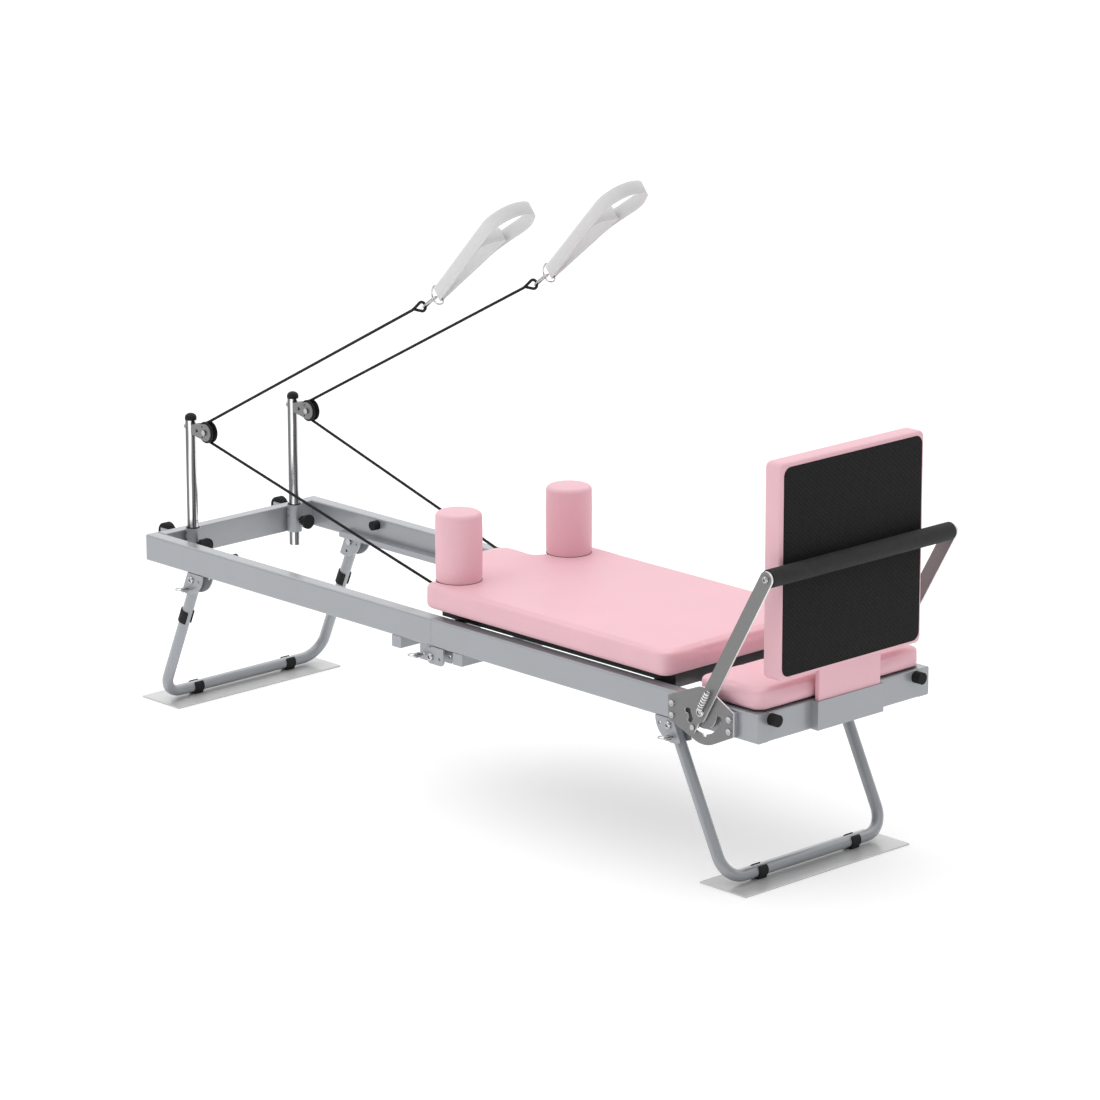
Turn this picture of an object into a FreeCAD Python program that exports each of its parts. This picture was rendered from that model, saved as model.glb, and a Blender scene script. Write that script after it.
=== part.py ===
"""Folding pilates reformer: a parametric assembly of separate named pieces.

Frame: +X runs to the foot end, +Y across, +Z up; the near side is -Y. The origin lies on the floor at
the middle of the overall box. Every piece is written to parts/NAME.step in millimetres.
"""
import FreeCAD, Part
import math
import os
import re
from FreeCAD import Placement, Rotation, Vector

SIZES = {
    # frame of four box rails, hinged in the middle
    "head_end": -1151,
    "foot_end": 1141,
    "frame_width": 600,
    "seam": -10,
    "seam_gap": 0.5,
    "rail_top": 469,
    "rail_height": 72,
    "rail_width": 40,
    "rail_wall": 2.5,
    "rail_round": 5,
    "end_tube": 34,
    "track_start": -976,
    "track_end": 1054,
    "track_width": 25,
    "track_height": 16,
    "track_wall": 2.5,
    "middle_tube": 35,
    "middle_tube_height": 31,
    "middle_tube_span": 596,
    "head_middle": -143.5,
    "foot_middle": 87.5,
    # fold hinge under the rails
    "hinge_x": -12,
    "hinge_z": 369,
    "ear_thickness": 4.5,
    "ear_gap": 31,
    "pivot_radius": 6,
    "running_gap": 0.06,
    "lock_pin_reach": 33,
    # folding legs
    "leg_radius": 15,
    "leg_wall": 2,
    "leg_bend": 62,
    "leg_line": 280,
    "leg_pivot_z": 380,
    "leg_foot_z": 23,
    "leg_pin_reach": 30,
    "head_fold": 113,
    "foot_fold": 116,
    "head_leg_x": -963,
    "head_lean": 23.5,
    "foot_leg_x": 842,
    "foot_lean": 26.5,
    "bracket_radius": 60,
    "bracket_shift": 15,
    "bracket_edge": 21,
    "leg_clip_reach": 123,
    "leg_clip_radius": 18.6,
    "leg_clip_length": 36,
    "pin_radius": 4,
    "floor_plate_width": 155,
    "floor_plate_span": 580,
    "floor_plate_thickness": 4,
    "clip_offset": 164,
    "clip_width": 30,
    "clip_radius": 18.5,
    "clip_gap": 0.3,
    # pulley posts
    "post_x": -1098,
    "post_line": 180,
    "post_radius": 15,
    "post_bottom": 363,
    "post_top": 780,
    "socket_radius": 20.5,
    "socket_bottom": 401,
    "socket_top": 477,
    "knob_z": 437,
    "knob_radius": 20,
    "knob_neck": 13,
    "cheek_radius": 23.5,
    "pulley_x": -1026,
    "pulley_z": 754,
    "pulley_radius": 29.5,
    "pulley_width": 17,
    "groove_radius": 19.7,
    "axle_radius": 5,
    # ropes, hooks and hand straps
    "rope_radius": 3.5,
    "strap_width": 36,
    "strap_thickness": 3,
    "ring_wire": 2.3,
    # transport wheels at the head end
    "roller_x": -1183.66,
    "roller_z": 452,
    "roller_radius": 26,
    "roller_width": 20,
    "roller_line": 200,
    # carriage
    "pad_head": -68,
    "pad_foot": 817,
    "pad_half": 286,
    "pad_bottom": 487,
    "pad_top": 550,
    "pad_round": 45,
    "headrest_end": -196,
    "headrest_half": 125,
    "rest_x": -20,
    "rest_line": 193,
    "rest_radius": 60,
    "rest_top": 733,
    "chassis_head": -41,
    "chassis_foot": 799,
    "chassis_half": 232,
    "chassis_bottom": 458,
    "chassis_beam": 30,
    "end_rung_bottom": 449,
    "wheel_radius": 24,
    "wheel_width": 18,
    "head_axle_x": 26,
    "foot_axle_x": 744,
    "anchor_reach": 25,
    "anchor_line": 143.6,
    "anchor_z": 472.3,
    # springs
    "spring_bar_x": 888,
    "spring_bar_size": 24,
    "spring_z": 437,
    "spring_radius": 11,
    "spring_start": 614,
    # foot bar with its slotted plates
    "bar_pivot_x": 975,
    "bar_pivot_z": 447,
    "bar_length": 426.7,
    "bar_angle": 60.2,
    "arm_width": 38,
    "arm_thickness": 6,
    "arm_inner": 319,
    "grip_radius": 22.5,
    "grip_core": 16,
    "plate_inner": 311,
    "plate_thickness": 4,
    "plate_head": 857,
    "plate_foot": 1075,
    "plate_low": 403,
    "plate_high": 463,
    "plate_top_radius": 60,
    "plate_low_radius": 83,
    "slot_radius": 50,
    "slot_half": 7,
    "notch_radius": 58,
    "lock_radius": 6,
    # jump board and foot platform
    "board_back": 1104,
    "board_front": 1161,
    "board_half": 249,
    "board_low": 543,
    "board_high": 1076,
    "core_back": 1143.5,
    "core_front": 1159.5,
    "neck_half": 108,
    "neck_low": 405,
    "sleeve_half": 115,
    "sleeve_front": 1163,
    "sleeve_low": 397,
    "sleeve_high": 469,
    "platform_head": 922,
    "platform_foot": 1132,
    "platform_half": 285,
    "platform_low": 469,
    "platform_high": 520,
    "bumper_line": 253,
    "bumper_radius": 15,
    "bumper_length": 24,
    "bumper_z": 451,
    "stop_x": -845.5,
    "stop_radius": 13,
}
SIDES = (("near", -1), ("far", 1))
LOCK_NOTCHES = (350, 275, 240.2, 215, 190.2)   # degrees round the foot bar's pivot
SPRING_LINES = (-96, -32, 32, 96)

doc = FreeCAD.newDocument("Reformer")
sheet = doc.addObject("Spreadsheet::Sheet", "Sizes")
for row, (alias, value) in enumerate(SIZES.items(), start=1):
    sheet.set(f"A{row}", alias)
    sheet.set(f"B{row}", str(value))
    sheet.setAlias(f"B{row}", alias)
doc.recompute()

subparts = []


def size(alias):
    """A driving dimension, read back from the sheet."""
    return float(sheet.get(alias))


def bind(item, prop, text):
    """Tie a property to an expression written with the sheet's aliases."""
    named = re.sub(r"[a-z_]+", lambda word: f"Sizes.{word[0]}" if word[0] in SIZES else word[0], str(text))
    item.setExpression(prop, named)


def place(item, x, y, z, rotation=None):
    item.Placement = Placement(Vector(), rotation or Rotation())
    for axis, text in zip("xyz", (x, y, z)):
        bind(item, f"Placement.Base.{axis}", text)
    return item


def keep(item, label):
    """Mark an object as a sub-part with the label that names its file."""
    item.Label = label
    subparts.append(item)
    return item


def box(x, y, z, length, width, height):
    item = doc.addObject("Part::Box", "Box")
    for prop, text in (("Length", length), ("Width", width), ("Height", height)):
        bind(item, prop, text)
    return place(item, x, y, z)


AXES = {
    "x": Rotation(Vector(0, 1, 0), 90),
    "y": Rotation(Vector(1, 0, 0), -90),
    "z": Rotation(),
}


def rod(axis, x, y, z, radius, length):
    """A cylinder that starts at the point and runs along a positive axis."""
    item = doc.addObject("Part::Cylinder", "Rod")
    bind(item, "Radius", radius)
    bind(item, "Height", length)
    return place(item, x, y, z, AXES[axis])


def cut(base, *tools):
    for tool in tools:
        step = doc.addObject("Part::Cut", "Cut")
        step.Base = base
        step.Tool = tool
        base = step
    return base


def fuse(*items):
    item = doc.addObject("Part::MultiFuse", "Fuse")
    item.Shapes = list(items)
    return item


def group(*items):
    """Separate solids that share one node."""
    item = doc.addObject("Part::Compound", "Group")
    item.Links = list(items)
    return item


def outward(sign, inner, thickness):
    """Lowest Y of a slab whose inner face stands `inner` from the middle plane."""
    return f"{inner}" if sign > 0 else f"-({inner}) - ({thickness})"


def rounded(points, radii, closed=True):
    """Straight runs through the points, joined at the corners by tangent arcs."""
    count = len(points)
    corners = []
    for index, point in enumerate(points):
        radius = radii[index]
        if radius == 0 or (not closed and index in (0, count - 1)):
            corners.append((point, point, None))
            continue
        back = (points[index - 1] - point).normalize()
        ahead = (points[(index + 1) % count] - point).normalize()
        half = back.getAngle(ahead) / 2
        reach = radius / math.tan(half)
        middle = (back + ahead).normalize()
        bulge = point + middle * (radius / math.sin(half) - radius)
        corners.append((point + back * reach, point + ahead * reach, bulge))
    pieces = []
    for index, (start, end, bulge) in enumerate(corners):
        if bulge is not None:
            pieces.append(Part.Arc(start, bulge, end))
        following = corners[(index + 1) % count][0]
        last = not closed and index == count - 1
        if not last and (following - end).Length > 1e-6:
            pieces.append(Part.LineSegment(end, following))
    return pieces


def flat(*pairs):
    return [Vector(x, y, 0) for x, y in pairs]


def rectangle(x_low, y_low, x_high, y_high, radius=0):
    points = flat((x_low, y_low), (x_high, y_low), (x_high, y_high), (x_low, y_high))
    return rounded(points, [radius] * 4)


def circle(x, y, radius):
    return [Part.Circle(Vector(x, y, 0), Vector(0, 0, 1), radius)]


def add_body(name):
    return doc.addObject("PartDesign::Body", name)


def add_sketch(body, plane, *wires):
    sketch = body.newObject("Sketcher::SketchObject", "Sketch")
    origin_plane = [item for item in body.Origin.OriginFeatures if item.Role == plane][0]
    sketch.AttachmentSupport = [(origin_plane, "")]
    sketch.MapMode = "FlatFace"
    for wire in wires:
        for piece in wire:
            sketch.addGeometry(piece, False)
    return sketch


def pad(body, sketch, length, reverse=False):
    step = body.newObject("PartDesign::Pad", "Pad")
    step.Profile = sketch
    step.Reversed = reverse
    bind(step, "Length", length)
    body.Tip = step
    return step


def pocket_through(body, sketch):
    step = body.newObject("PartDesign::Pocket", "Pocket")
    step.Profile = sketch
    step.Type = "ThroughAll"
    step.Midplane = True
    body.Tip = step
    return step


def hollow_section(name, width, height, wall, radius, plane, length, reverse=False):
    """A box tube with rounded outer edges, drawn from its own corner at the origin."""
    body = add_body(name)
    outer = rectangle(0, 0, width, height, radius)
    inner = rectangle(wall, wall, width - wall, height - wall)
    pad(body, add_sketch(body, plane, outer, inner), length, reverse)
    return body


def tangent_angle(x, z, radius, outside):
    """Direction of the point where a line from (x, z) touches a circle round the origin."""
    reach = math.hypot(x, z)
    return math.degrees(math.atan2(z, x)) + outside * math.degrees(math.acos(radius / reach))


def polar(centre_x, centre_z, radius, degrees):
    turn = math.radians(degrees)
    return centre_x + radius * math.cos(turn), centre_z + radius * math.sin(turn)


# ---------------------------------------------------------------- rails, tracks and cross tubes
RAIL_BOTTOM = "rail_top - rail_height"
HALVES = {
    "head": ("head_end", "seam - seam_gap / 2 - head_end"),
    "foot": ("seam + seam_gap / 2", "foot_end - seam - seam_gap / 2"),
}
TRACKS = {
    "head": ("track_start", "seam - seam_gap / 2 - track_start"),
    "foot": ("seam + seam_gap / 2", "track_end - seam - seam_gap / 2"),
}


def make_rails(half):
    """The two side rails of one half, open at the fold and closed at the outer end."""
    start, length = HALVES[half]
    for side, sign in SIDES:
        rail = hollow_section(f"{half}_open_rail_{side}", size("rail_width"), size("rail_height"),
                              size("rail_wall"), size("rail_round"), "YZ_Plane", length)
        y = outward(sign, "frame_width / 2 - rail_width", "rail_width")
        place(rail, start, y, RAIL_BOTTOM)
        end = "head_end" if half == "head" else "foot_end - rail_wall"
        wall = box(end, f"{y} + rail_wall - 0.5", f"{RAIL_BOTTOM} + rail_wall - 0.5", "rail_wall",
                   "rail_width - 2 * rail_wall + 1", "rail_height - 2 * rail_wall + 1")
        keep(fuse(rail, wall), f"{half}_rail_{side}")


def make_tracks(half):
    """Box ledges along the rails' inner faces, which the carriage wheels roll on."""
    start, length = TRACKS[half]
    ledges = []
    for side, sign in SIDES:
        y = outward(sign, "frame_width / 2 - rail_width - track_width", "track_width")
        outer = box(start, y, RAIL_BOTTOM, length, "track_width", "track_height")
        hollow = box(start, f"{y} + track_wall", f"{RAIL_BOTTOM} + track_wall", length,
                     "track_width - 2 * track_wall", "track_height - 2 * track_wall")
        ledges.append(cut(outer, hollow))
    keep(group(*ledges), f"{half}_tracks")


def make_end_tube(half, x):
    tube = hollow_section(f"{half}_cross_tube", size("end_tube"), size("rail_height"), size("rail_wall"), 3,
                          "XZ_Plane", "frame_width - 2 * rail_width", reverse=True)
    place(tube, x, "rail_width - frame_width / 2", RAIL_BOTTOM)
    return tube


def make_middle_tube(half, centre):
    """A cross tube under the rails beside the fold, its ends closed."""
    tube = hollow_section(f"{half}_open_middle", size("middle_tube"), size("middle_tube_height"), 2, 2,
                          "XZ_Plane", "middle_tube_span", reverse=True)
    bottom = f"{RAIL_BOTTOM} - middle_tube_height"
    place(tube, f"{centre} - middle_tube / 2", "-middle_tube_span / 2", bottom)
    lids = [box(f"{centre} - middle_tube / 2 + 1.5", outward(sign, "middle_tube_span / 2 - 2", "2"),
                f"{bottom} + 1.5", "middle_tube - 3", 2, "middle_tube_height - 3") for side, sign in SIDES]
    keep(fuse(tube, *lids), f"{half}_middle_tube")


for half, centre in (("head", "head_middle"), ("foot", "foot_middle")):
    make_rails(half)
    make_tracks(half)
    make_middle_tube(half, centre)


def make_foot_end_tube():
    """The foot cross tube with the jump board's sleeve welded to its outer face."""
    tube = make_end_tube("foot", "foot_end - end_tube")
    sleeve = box("foot_end", "-sleeve_half", "sleeve_low", "sleeve_front - foot_end", "2 * sleeve_half",
                 "sleeve_high - sleeve_low")
    bore = box("core_back - 0.4", "-neck_half - 0.4", "neck_low - 0.4", "core_front - core_back + 0.8",
               "2 * neck_half + 0.8", "sleeve_high - neck_low + 1")
    keep(cut(fuse(tube, sleeve), bore), "foot_end_tube")


def make_head_end_tube():
    """The head cross tube with the two post sockets and the roller lugs welded to it."""
    tube = make_end_tube("head", "head_end")
    welded = [tube]
    bores = []
    for side, sign in SIDES:
        y = f"{sign} * post_line"
        welded.append(rod("z", "post_x", y, "socket_bottom", "socket_radius", "socket_top - socket_bottom"))
        web = box("head_end + end_tube - 3", f"{y} - 8", "socket_bottom + 8", 12, 16, 52)
        welded.append(web)
        bores.append(rod("z", "post_x", y, "socket_bottom - 1", "post_radius + running_gap",
                         "socket_top - socket_bottom + 2"))
        bores.append(rod("x", "post_x", y, "knob_z", "4.05", "socket_radius + 2"))
        for edge in (-1, 1):
            inner = f"{sign} * roller_line + {edge} * (roller_width / 2 + 3) - 2"
            welded.append(box("roller_x - 10", inner, "roller_z - 12", "head_end - roller_x + 10", 4, 24))
            bores.append(rod("y", "roller_x", f"{inner} - 1", "roller_z", "axle_radius", 6))
    keep(cut(fuse(*welded), group(*bores)), "head_end_tube")


make_head_end_tube()
make_foot_end_tube()


def make_transport_wheels():
    wheels = []
    for side, sign in SIDES:
        y = f"{sign} * roller_line - roller_width / 2"
        tyre = rod("y", "roller_x", y, "roller_z", "roller_radius", "roller_width")
        axle = rod("y", "roller_x", f"{sign} * roller_line - roller_width / 2 - 5.5", "roller_z",
                   "axle_radius - running_gap", "roller_width + 11")
        wheels.append(fuse(tyre, axle))
    keep(group(*wheels), "transport_wheels")


make_transport_wheels()


# ---------------------------------------------------------------- fold hinge and leg brackets
def leg_pin_spot(half, folded=False):
    """Where a leg's pull pin goes through the bracket, in the leg's open or folded place."""
    turn = size(f"{half}_fold") if folded else 0
    if half == "head":
        degrees = 270 - size("head_lean") + turn
    else:
        degrees = 270 + size("foot_lean") - turn
    return polar(size(f"{half}_leg_x"), size("leg_pivot_z"), size("leg_pin_reach"), degrees)


def leg_ears(half):
    """Half-disc plates under the rails, two on each side, cut off along the leg on its outer side."""
    ears = []
    tilt = 1 if half == "head" else -1
    centre = f"{half}_leg_x {'-' if half == 'head' else '+'} bracket_shift"
    for side, sign in SIDES:
        for inner in ("leg_line + ear_gap / 2", "leg_line - ear_gap / 2 - ear_thickness"):
            y = outward(sign, inner, "ear_thickness")
            disc = rod("y", centre, y, RAIL_BOTTOM, "bracket_radius", "ear_thickness")
            lower = box(f"{centre} - bracket_radius", y, f"{RAIL_BOTTOM} - bracket_radius",
                        "2 * bracket_radius", "ear_thickness", "bracket_radius")
            half_disc = doc.addObject("Part::Common", "HalfDisc")
            half_disc.Base = disc
            half_disc.Tool = lower
            spare = doc.addObject("Part::Box", "Spare")
            bind(spare, "Length", 80)
            bind(spare, "Width", "ear_thickness")
            bind(spare, "Height", 160)
            slide = math.radians(size(f"{half}_lean"))
            reach = size("bracket_edge") + (80 if half == "head" else 0)
            shift_x = (-1 if half == "head" else 1) * reach * math.cos(slide) - tilt * 100 * math.sin(slide)
            shift_z = reach * math.sin(slide) - 100 * math.cos(slide)
            place(spare, f"{half}_leg_x + {shift_x:.4f}", y, f"leg_pivot_z + {shift_z:.4f}",
                  Rotation(Vector(0, 1, 0), tilt * size(f"{half}_lean")))
            holes = [rod("y", f"{half}_leg_x", y, "leg_pivot_z", "pivot_radius", "ear_thickness"), spare]
            for folded in (False, True):
                x, z = leg_pin_spot(half, folded)
                holes.append(rod("y", x, y, z, "pin_radius + 0.1", "ear_thickness"))
            ears.append(cut(half_disc, *holes))
    return ears


def hinge_plate(outline, radii, holes, sign, inner):
    """A laser-cut plate in the XZ plane, drawn about the fold pivot."""
    body = add_body("HingePlate")
    wires = [rounded(flat(*outline), radii)]
    wires += [circle(x, z, radius) for x, z, radius in holes]
    pad(body, add_sketch(body, "XZ_Plane", *wires), "ear_thickness", reverse=True)
    return place(body, "hinge_x", outward(sign, inner, "ear_thickness"), "hinge_z")


def hinge_ears():
    """The foot half's ears: an outer and an inner one each side, clear of the swinging head rail."""
    lift = size("rail_top") - size("rail_height") - size("hinge_z")
    outline = ((-11, lift - 4), (3, lift - 4), (3, lift), (48, lift), (48, -18), (-11, -18))
    reach = size("lock_pin_reach")
    holes = ((0, 0, size("pivot_radius")), (reach, 0, size("pin_radius") + 0.1))
    ears = []
    for side, sign in SIDES:
        for inner in ("frame_width / 2 - ear_thickness", "frame_width / 2 - rail_width"):
            ears.append(hinge_plate(outline, (0, 0, 0, 0, 12, 9), holes, sign, inner))
    return ears


def head_hinge_plates():
    lift = size("rail_top") - size("rail_height") - size("hinge_z")
    outline = ((-45, lift), (-45, -15), (14, -15), (14, lift - 6), (-3, lift - 6), (-3, lift))
    reach = size("lock_pin_reach")
    holes = ((0, 0, size("pivot_radius") + size("running_gap")), (-reach, 0, size("pin_radius") + 0.1))
    inner = "frame_width / 2 - 2 * ear_thickness - 0.5"
    return [hinge_plate(outline, (0, 0, 10, 6, 0, 0), holes, sign, inner) for side, sign in SIDES]


def plate_spacers():
    """Blocks that stand the slotted side plates off the rails."""
    blocks = []
    for side, sign in SIDES:
        y = outward(sign, "frame_width / 2", "plate_inner - frame_width / 2")
        for x in ("plate_head", "plate_foot - 26"):
            block = box(x, y, "plate_low", 28, "plate_inner - frame_width / 2", "plate_high - plate_low")
            bolts = [rod("y", f"{x} + 13", y, z, 4, 12) for z in ("plate_low + 12", "plate_high - 18")]
            blocks.append(cut(block, *bolts))
    return blocks


keep(group(*leg_ears("head"), *head_hinge_plates()), "head_brackets")
keep(group(*leg_ears("foot"), *hinge_ears(), *plate_spacers()), "foot_brackets")


def pivot_bolt(x, z, sign, inner, outer):
    """A domed bolt through a pair of ears, its head outside and its nut inside."""
    shank = rod("y", x, outward(sign, inner, f"{outer} - ({inner})"), z, "pivot_radius", f"{outer} - ({inner})")
    head = rod("y", x, outward(sign, outer, "4"), z, 10, 4)
    nut = rod("y", x, outward(sign, f"{inner} - 5", "5"), z, 9, 5)
    return fuse(shank, head, nut)


def leg_bolts(half):
    inner = "leg_line - ear_gap / 2 - ear_thickness"
    outer = "leg_line + ear_gap / 2 + ear_thickness"
    return [pivot_bolt(f"{half}_leg_x", "leg_pivot_z", sign, inner, outer) for side, sign in SIDES]


hinge_bolts = [pivot_bolt("hinge_x", "hinge_z", sign, "frame_width / 2 - rail_width", "frame_width / 2")
               for side, sign in SIDES]
keep(group(*leg_bolts("head")), "head_leg_bolts")
keep(group(*leg_bolts("foot"), *hinge_bolts), "foot_pivot_bolts")


# ---------------------------------------------------------------- pull pins
def pull_pin(x, z, sign, tip, shoulder):
    """A spring pin with its collar and pull ring, drawn out just far enough to release."""
    shank = rod("y", x, outward(sign, tip, f"{shoulder} - ({tip})"), z, "pin_radius", f"{shoulder} - ({tip})")
    collar = rod("y", x, outward(sign, shoulder, "11"), z, 7, 11)
    knob = rod("y", x, outward(sign, f"{shoulder} + 11", "5"), z, 4.5, 5)
    ring = doc.addObject("Part::Torus", "Ring")
    bind(ring, "Radius1", 11)
    bind(ring, "Radius2", 1.2)
    place(ring, f"{x} - 11", f"{sign} * ({shoulder} + 13.5)", z)
    return fuse(shank, collar, knob, ring)


for side, sign in SIDES:
    for half in ("head", "foot"):
        pin_x, pin_z = leg_pin_spot(half)
        pin = pull_pin(pin_x, pin_z, sign, "leg_line + leg_radius + 0.3",
                       "leg_line + ear_gap / 2 + ear_thickness + 8.3")
        keep(pin, f"{half}_leg_pin_{side}")
    pin = pull_pin("hinge_x - lock_pin_reach", "hinge_z", sign, "frame_width / 2 + 0.3", "frame_width / 2 + 9")
    keep(pin, f"hinge_pin_{side}")


# ---------------------------------------------------------------- legs and floor plates
def make_leg(half, tilt):
    """One bent tube: down from the near bracket, across the floor plate and up to the far one."""
    length = (size("leg_pivot_z") - size("leg_foot_z")) / math.cos(math.radians(size(f"{half}_lean")))
    line = size("leg_line")
    top = 6
    route = flat((-line, top), (-line, -length), (line, -length), (line, top))
    bends = (0, size("leg_bend"), size("leg_bend"), 0)
    body = add_body(f"{half}_leg_tube")
    spine = add_sketch(body, "YZ_Plane", rounded(route, bends, closed=False))
    ring = add_sketch(body, "XY_Plane", circle(0, -line, size("leg_radius")),
                      circle(0, -line, size("leg_radius") - size("leg_wall")))
    ring.AttachmentOffset = Placement(Vector(0, 0, top), Rotation())
    pipe = body.newObject("PartDesign::AdditivePipe", "Pipe")
    pipe.Profile = ring
    pipe.Spine = (spine, [f"Edge{number}" for number in range(1, 6)])
    body.Tip = pipe
    reach = size("leg_pin_reach")
    holes = add_sketch(body, "XZ_Plane", circle(0, 0, size("pivot_radius") + size("running_gap")),
                       circle(0, -reach, size("pin_radius") + 0.1))
    pocket_through(body, holes)
    lean = Rotation(Vector(0, 1, 0), tilt * size(f"{half}_lean"))
    place(body, f"{half}_leg_x", 0, "leg_pivot_z", lean)
    clips = [leg_clip(sign, lean) for side, sign in SIDES] if half == "head" else []
    keep(group(body, *clips), f"{half}_leg")


def leg_clip(sign, lean):
    """A spring clip on the head leg that holds the foot leg when the machine is folded."""
    length = size("leg_clip_length")
    base = lean.multVec(Vector(0, sign * size("leg_line"), -size("leg_clip_reach") - length / 2))
    shell = doc.addObject("Part::Cylinder", "ClipShell")
    bore = doc.addObject("Part::Cylinder", "ClipBore")
    for item, radius in ((shell, "leg_clip_radius"), (bore, "leg_radius + 0.05")):
        bind(item, "Radius", radius)
        bind(item, "Height", "leg_clip_length")
        place(item, f"head_leg_x + {base.x:.4f}", f"{base.y:.4f}", f"leg_pivot_z + {base.z:.4f}", lean)
    mouth = doc.addObject("Part::Box", "ClipMouth")
    for prop, value in (("Length", 20), ("Width", 20), ("Height", length + 2)):
        bind(mouth, prop, value)
    start = base + lean.multVec(Vector(4, -10, -1))
    place(mouth, f"head_leg_x + {start.x:.4f}", f"{start.y:.4f}", f"leg_pivot_z + {start.z:.4f}", lean)
    return cut(shell, bore, mouth)


def make_floor_plate(half, direction):
    centre = f"{half}_leg_x + {direction} * (leg_pivot_z - leg_foot_z) * tan({half}_lean * 1deg)"
    plate = box(f"{centre} - floor_plate_width / 2", "-floor_plate_span / 2", 0,
                "floor_plate_width", "floor_plate_span", "floor_plate_thickness")
    pieces = [plate]
    for side, sign in SIDES:
        y = f"{sign} * clip_offset - clip_width / 2"
        shell = rod("y", centre, y, "leg_foot_z", "clip_radius", "clip_width")
        foot = box(f"{centre} - 12", y, "floor_plate_thickness", 24, "clip_width", 5)
        bore = rod("y", centre, f"{y} - 1", "leg_foot_z", "leg_radius + clip_gap", "clip_width + 2")
        mouth = box(f"{centre} - 11", f"{y} - 1", "leg_foot_z + 4", 22, "clip_width + 2", 20)
        pieces.append(cut(fuse(shell, foot), bore, mouth))
    keep(group(*pieces), f"{half}_floor_plate")


make_leg("head", 1)
make_leg("foot", -1)
make_floor_plate("head", -1)
make_floor_plate("foot", 1)


# ---------------------------------------------------------------- posts, pulleys and clamp knobs
def hexagon(x, y, z, radius, height):
    """A hexagonal bolt head along Y."""
    item = doc.addObject("Part::Prism", "Hexagon")
    item.Polygon = 6
    bind(item, "Circumradius", radius)
    bind(item, "Height", height)
    return place(item, x, y, z, Rotation(Vector(1, 0, 0), -90))


def pulley_cheek(y):
    """A disc with arms tapering back to the post, pierced by a triangle and two round holes."""
    radius = size("cheek_radius")
    back = size("post_x") + size("post_radius") + 2 - size("pulley_x")
    touch = tangent_angle(back, 13, radius, -1)
    upper = Vector(*polar(0, 0, radius, touch), 0)
    lower = Vector(upper.x, -upper.y, 0)
    front = Vector(radius, 0, 0)
    outline = [Part.LineSegment(Vector(back, 13, 0), upper), Part.Arc(upper, front, lower),
               Part.LineSegment(lower, Vector(back, -13, 0)),
               Part.LineSegment(Vector(back, -13, 0), Vector(back, 13, 0))]
    triangle = rounded(flat((-39, 7), (-39, -7), (-25, 0)), (1.5, 1.5, 1.5))
    body = add_body("Cheek")
    holes = [circle(-10, 14.5, 2.6), circle(-10, -14.5, 2.6), triangle]
    pad(body, add_sketch(body, "XZ_Plane", outline, *holes), 3, reverse=True)
    return place(body, "pulley_x", y, "pulley_z")


def make_post(side, sign):
    y = f"{sign} * post_line"
    tube = rod("z", "post_x", y, "post_bottom", "post_radius", "post_top - post_bottom")
    bore = rod("z", "post_x", y, "post_bottom - 1", "post_radius - 2", "post_top - post_bottom + 2")
    cap = rod("z", "post_x", y, "post_top", "post_radius + 1", 15)
    plug = rod("z", "post_x", y, "post_top - 12", "post_radius - 2", 12)
    cross = rod("x", "post_x - post_radius - 1", y, "pulley_z", 4, "2 * post_radius + 2")
    keep(group(cut(tube, bore, cross), fuse(cap, plug)), f"post_{side}")

    saddle = box("post_x + post_radius", f"{y} - 12.5", "pulley_z - 13", 20, 25, 26)
    cheeks = [pulley_cheek(f"{y} + {edge} * 11 - 1.5") for edge in (-1, 1)]
    nuts = [hexagon("pulley_x", f"{y} + {edge} * 12.4 - 2.5 + {edge} * 2.5", "pulley_z", 8, 5) for edge in (-1, 1)]
    wheel_room = rod("y", "pulley_x", f"{y} - 9.5", "pulley_z", "pulley_radius + 1.5", 19)
    axle = rod("y", "pulley_x", f"{y} - 17", "pulley_z", "axle_radius", 34)
    bolt = rod("x", "post_x - post_radius - 7", y, "pulley_z", 4, "2 * post_radius + 24")
    nut = rod("x", "post_x - post_radius - 7", y, "pulley_z", 7.5, 6)
    block = cut(fuse(saddle, *cheeks), wheel_room)
    keep(fuse(block, axle, bolt, nut, *nuts), f"pulley_block_{side}")


def make_pulley(side, sign):
    """A grooved wheel, turned about its axle."""
    rim = size("pulley_radius")
    groove = size("groove_radius")
    bore = size("axle_radius") + size("running_gap")
    half = size("pulley_width") / 2
    profile = flat((bore, -half), (rim, -half), (rim, -half + 2), (groove, -2.5), (groove, 2.5),
                   (rim, half - 2), (rim, half), (bore, half))
    body = add_body(f"pulley_{side}")
    sketch = add_sketch(body, "XY_Plane", rounded(profile, [0] * len(profile)))
    turn = body.newObject("PartDesign::Revolution", "Turn")
    turn.Profile = sketch
    turn.ReferenceAxis = (sketch, ["V_Axis"])
    turn.Angle = 360
    body.Tip = turn
    place(body, "pulley_x", f"{sign} * post_line", "pulley_z")
    keep(body, f"pulley_wheel_{side}")


def make_knob(side, sign):
    """A clamp knob: a disc on a fluted neck; its screw presses on the post."""
    y = f"{sign} * post_line"
    start = "post_x + post_radius + 0.5"
    screw = rod("x", start, y, "knob_z", 4, "socket_radius - post_radius + 26")
    neck = rod("x", "post_x + socket_radius + 12", y, "knob_z", "knob_neck", 21)
    disc = rod("x", "post_x + socket_radius + 32", y, "knob_z", "knob_radius", 8)
    flutes = []
    for number in range(8):
        turn = math.radians(45 * number)
        flutes.append(rod("x", "post_x + socket_radius + 11", f"{y} + {14.5 * math.cos(turn):.4f}",
                          f"knob_z + {14.5 * math.sin(turn):.4f}", 3.2, 21))
    keep(fuse(cut(neck, *flutes), disc, screw), f"clamp_knob_{side}")


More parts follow.
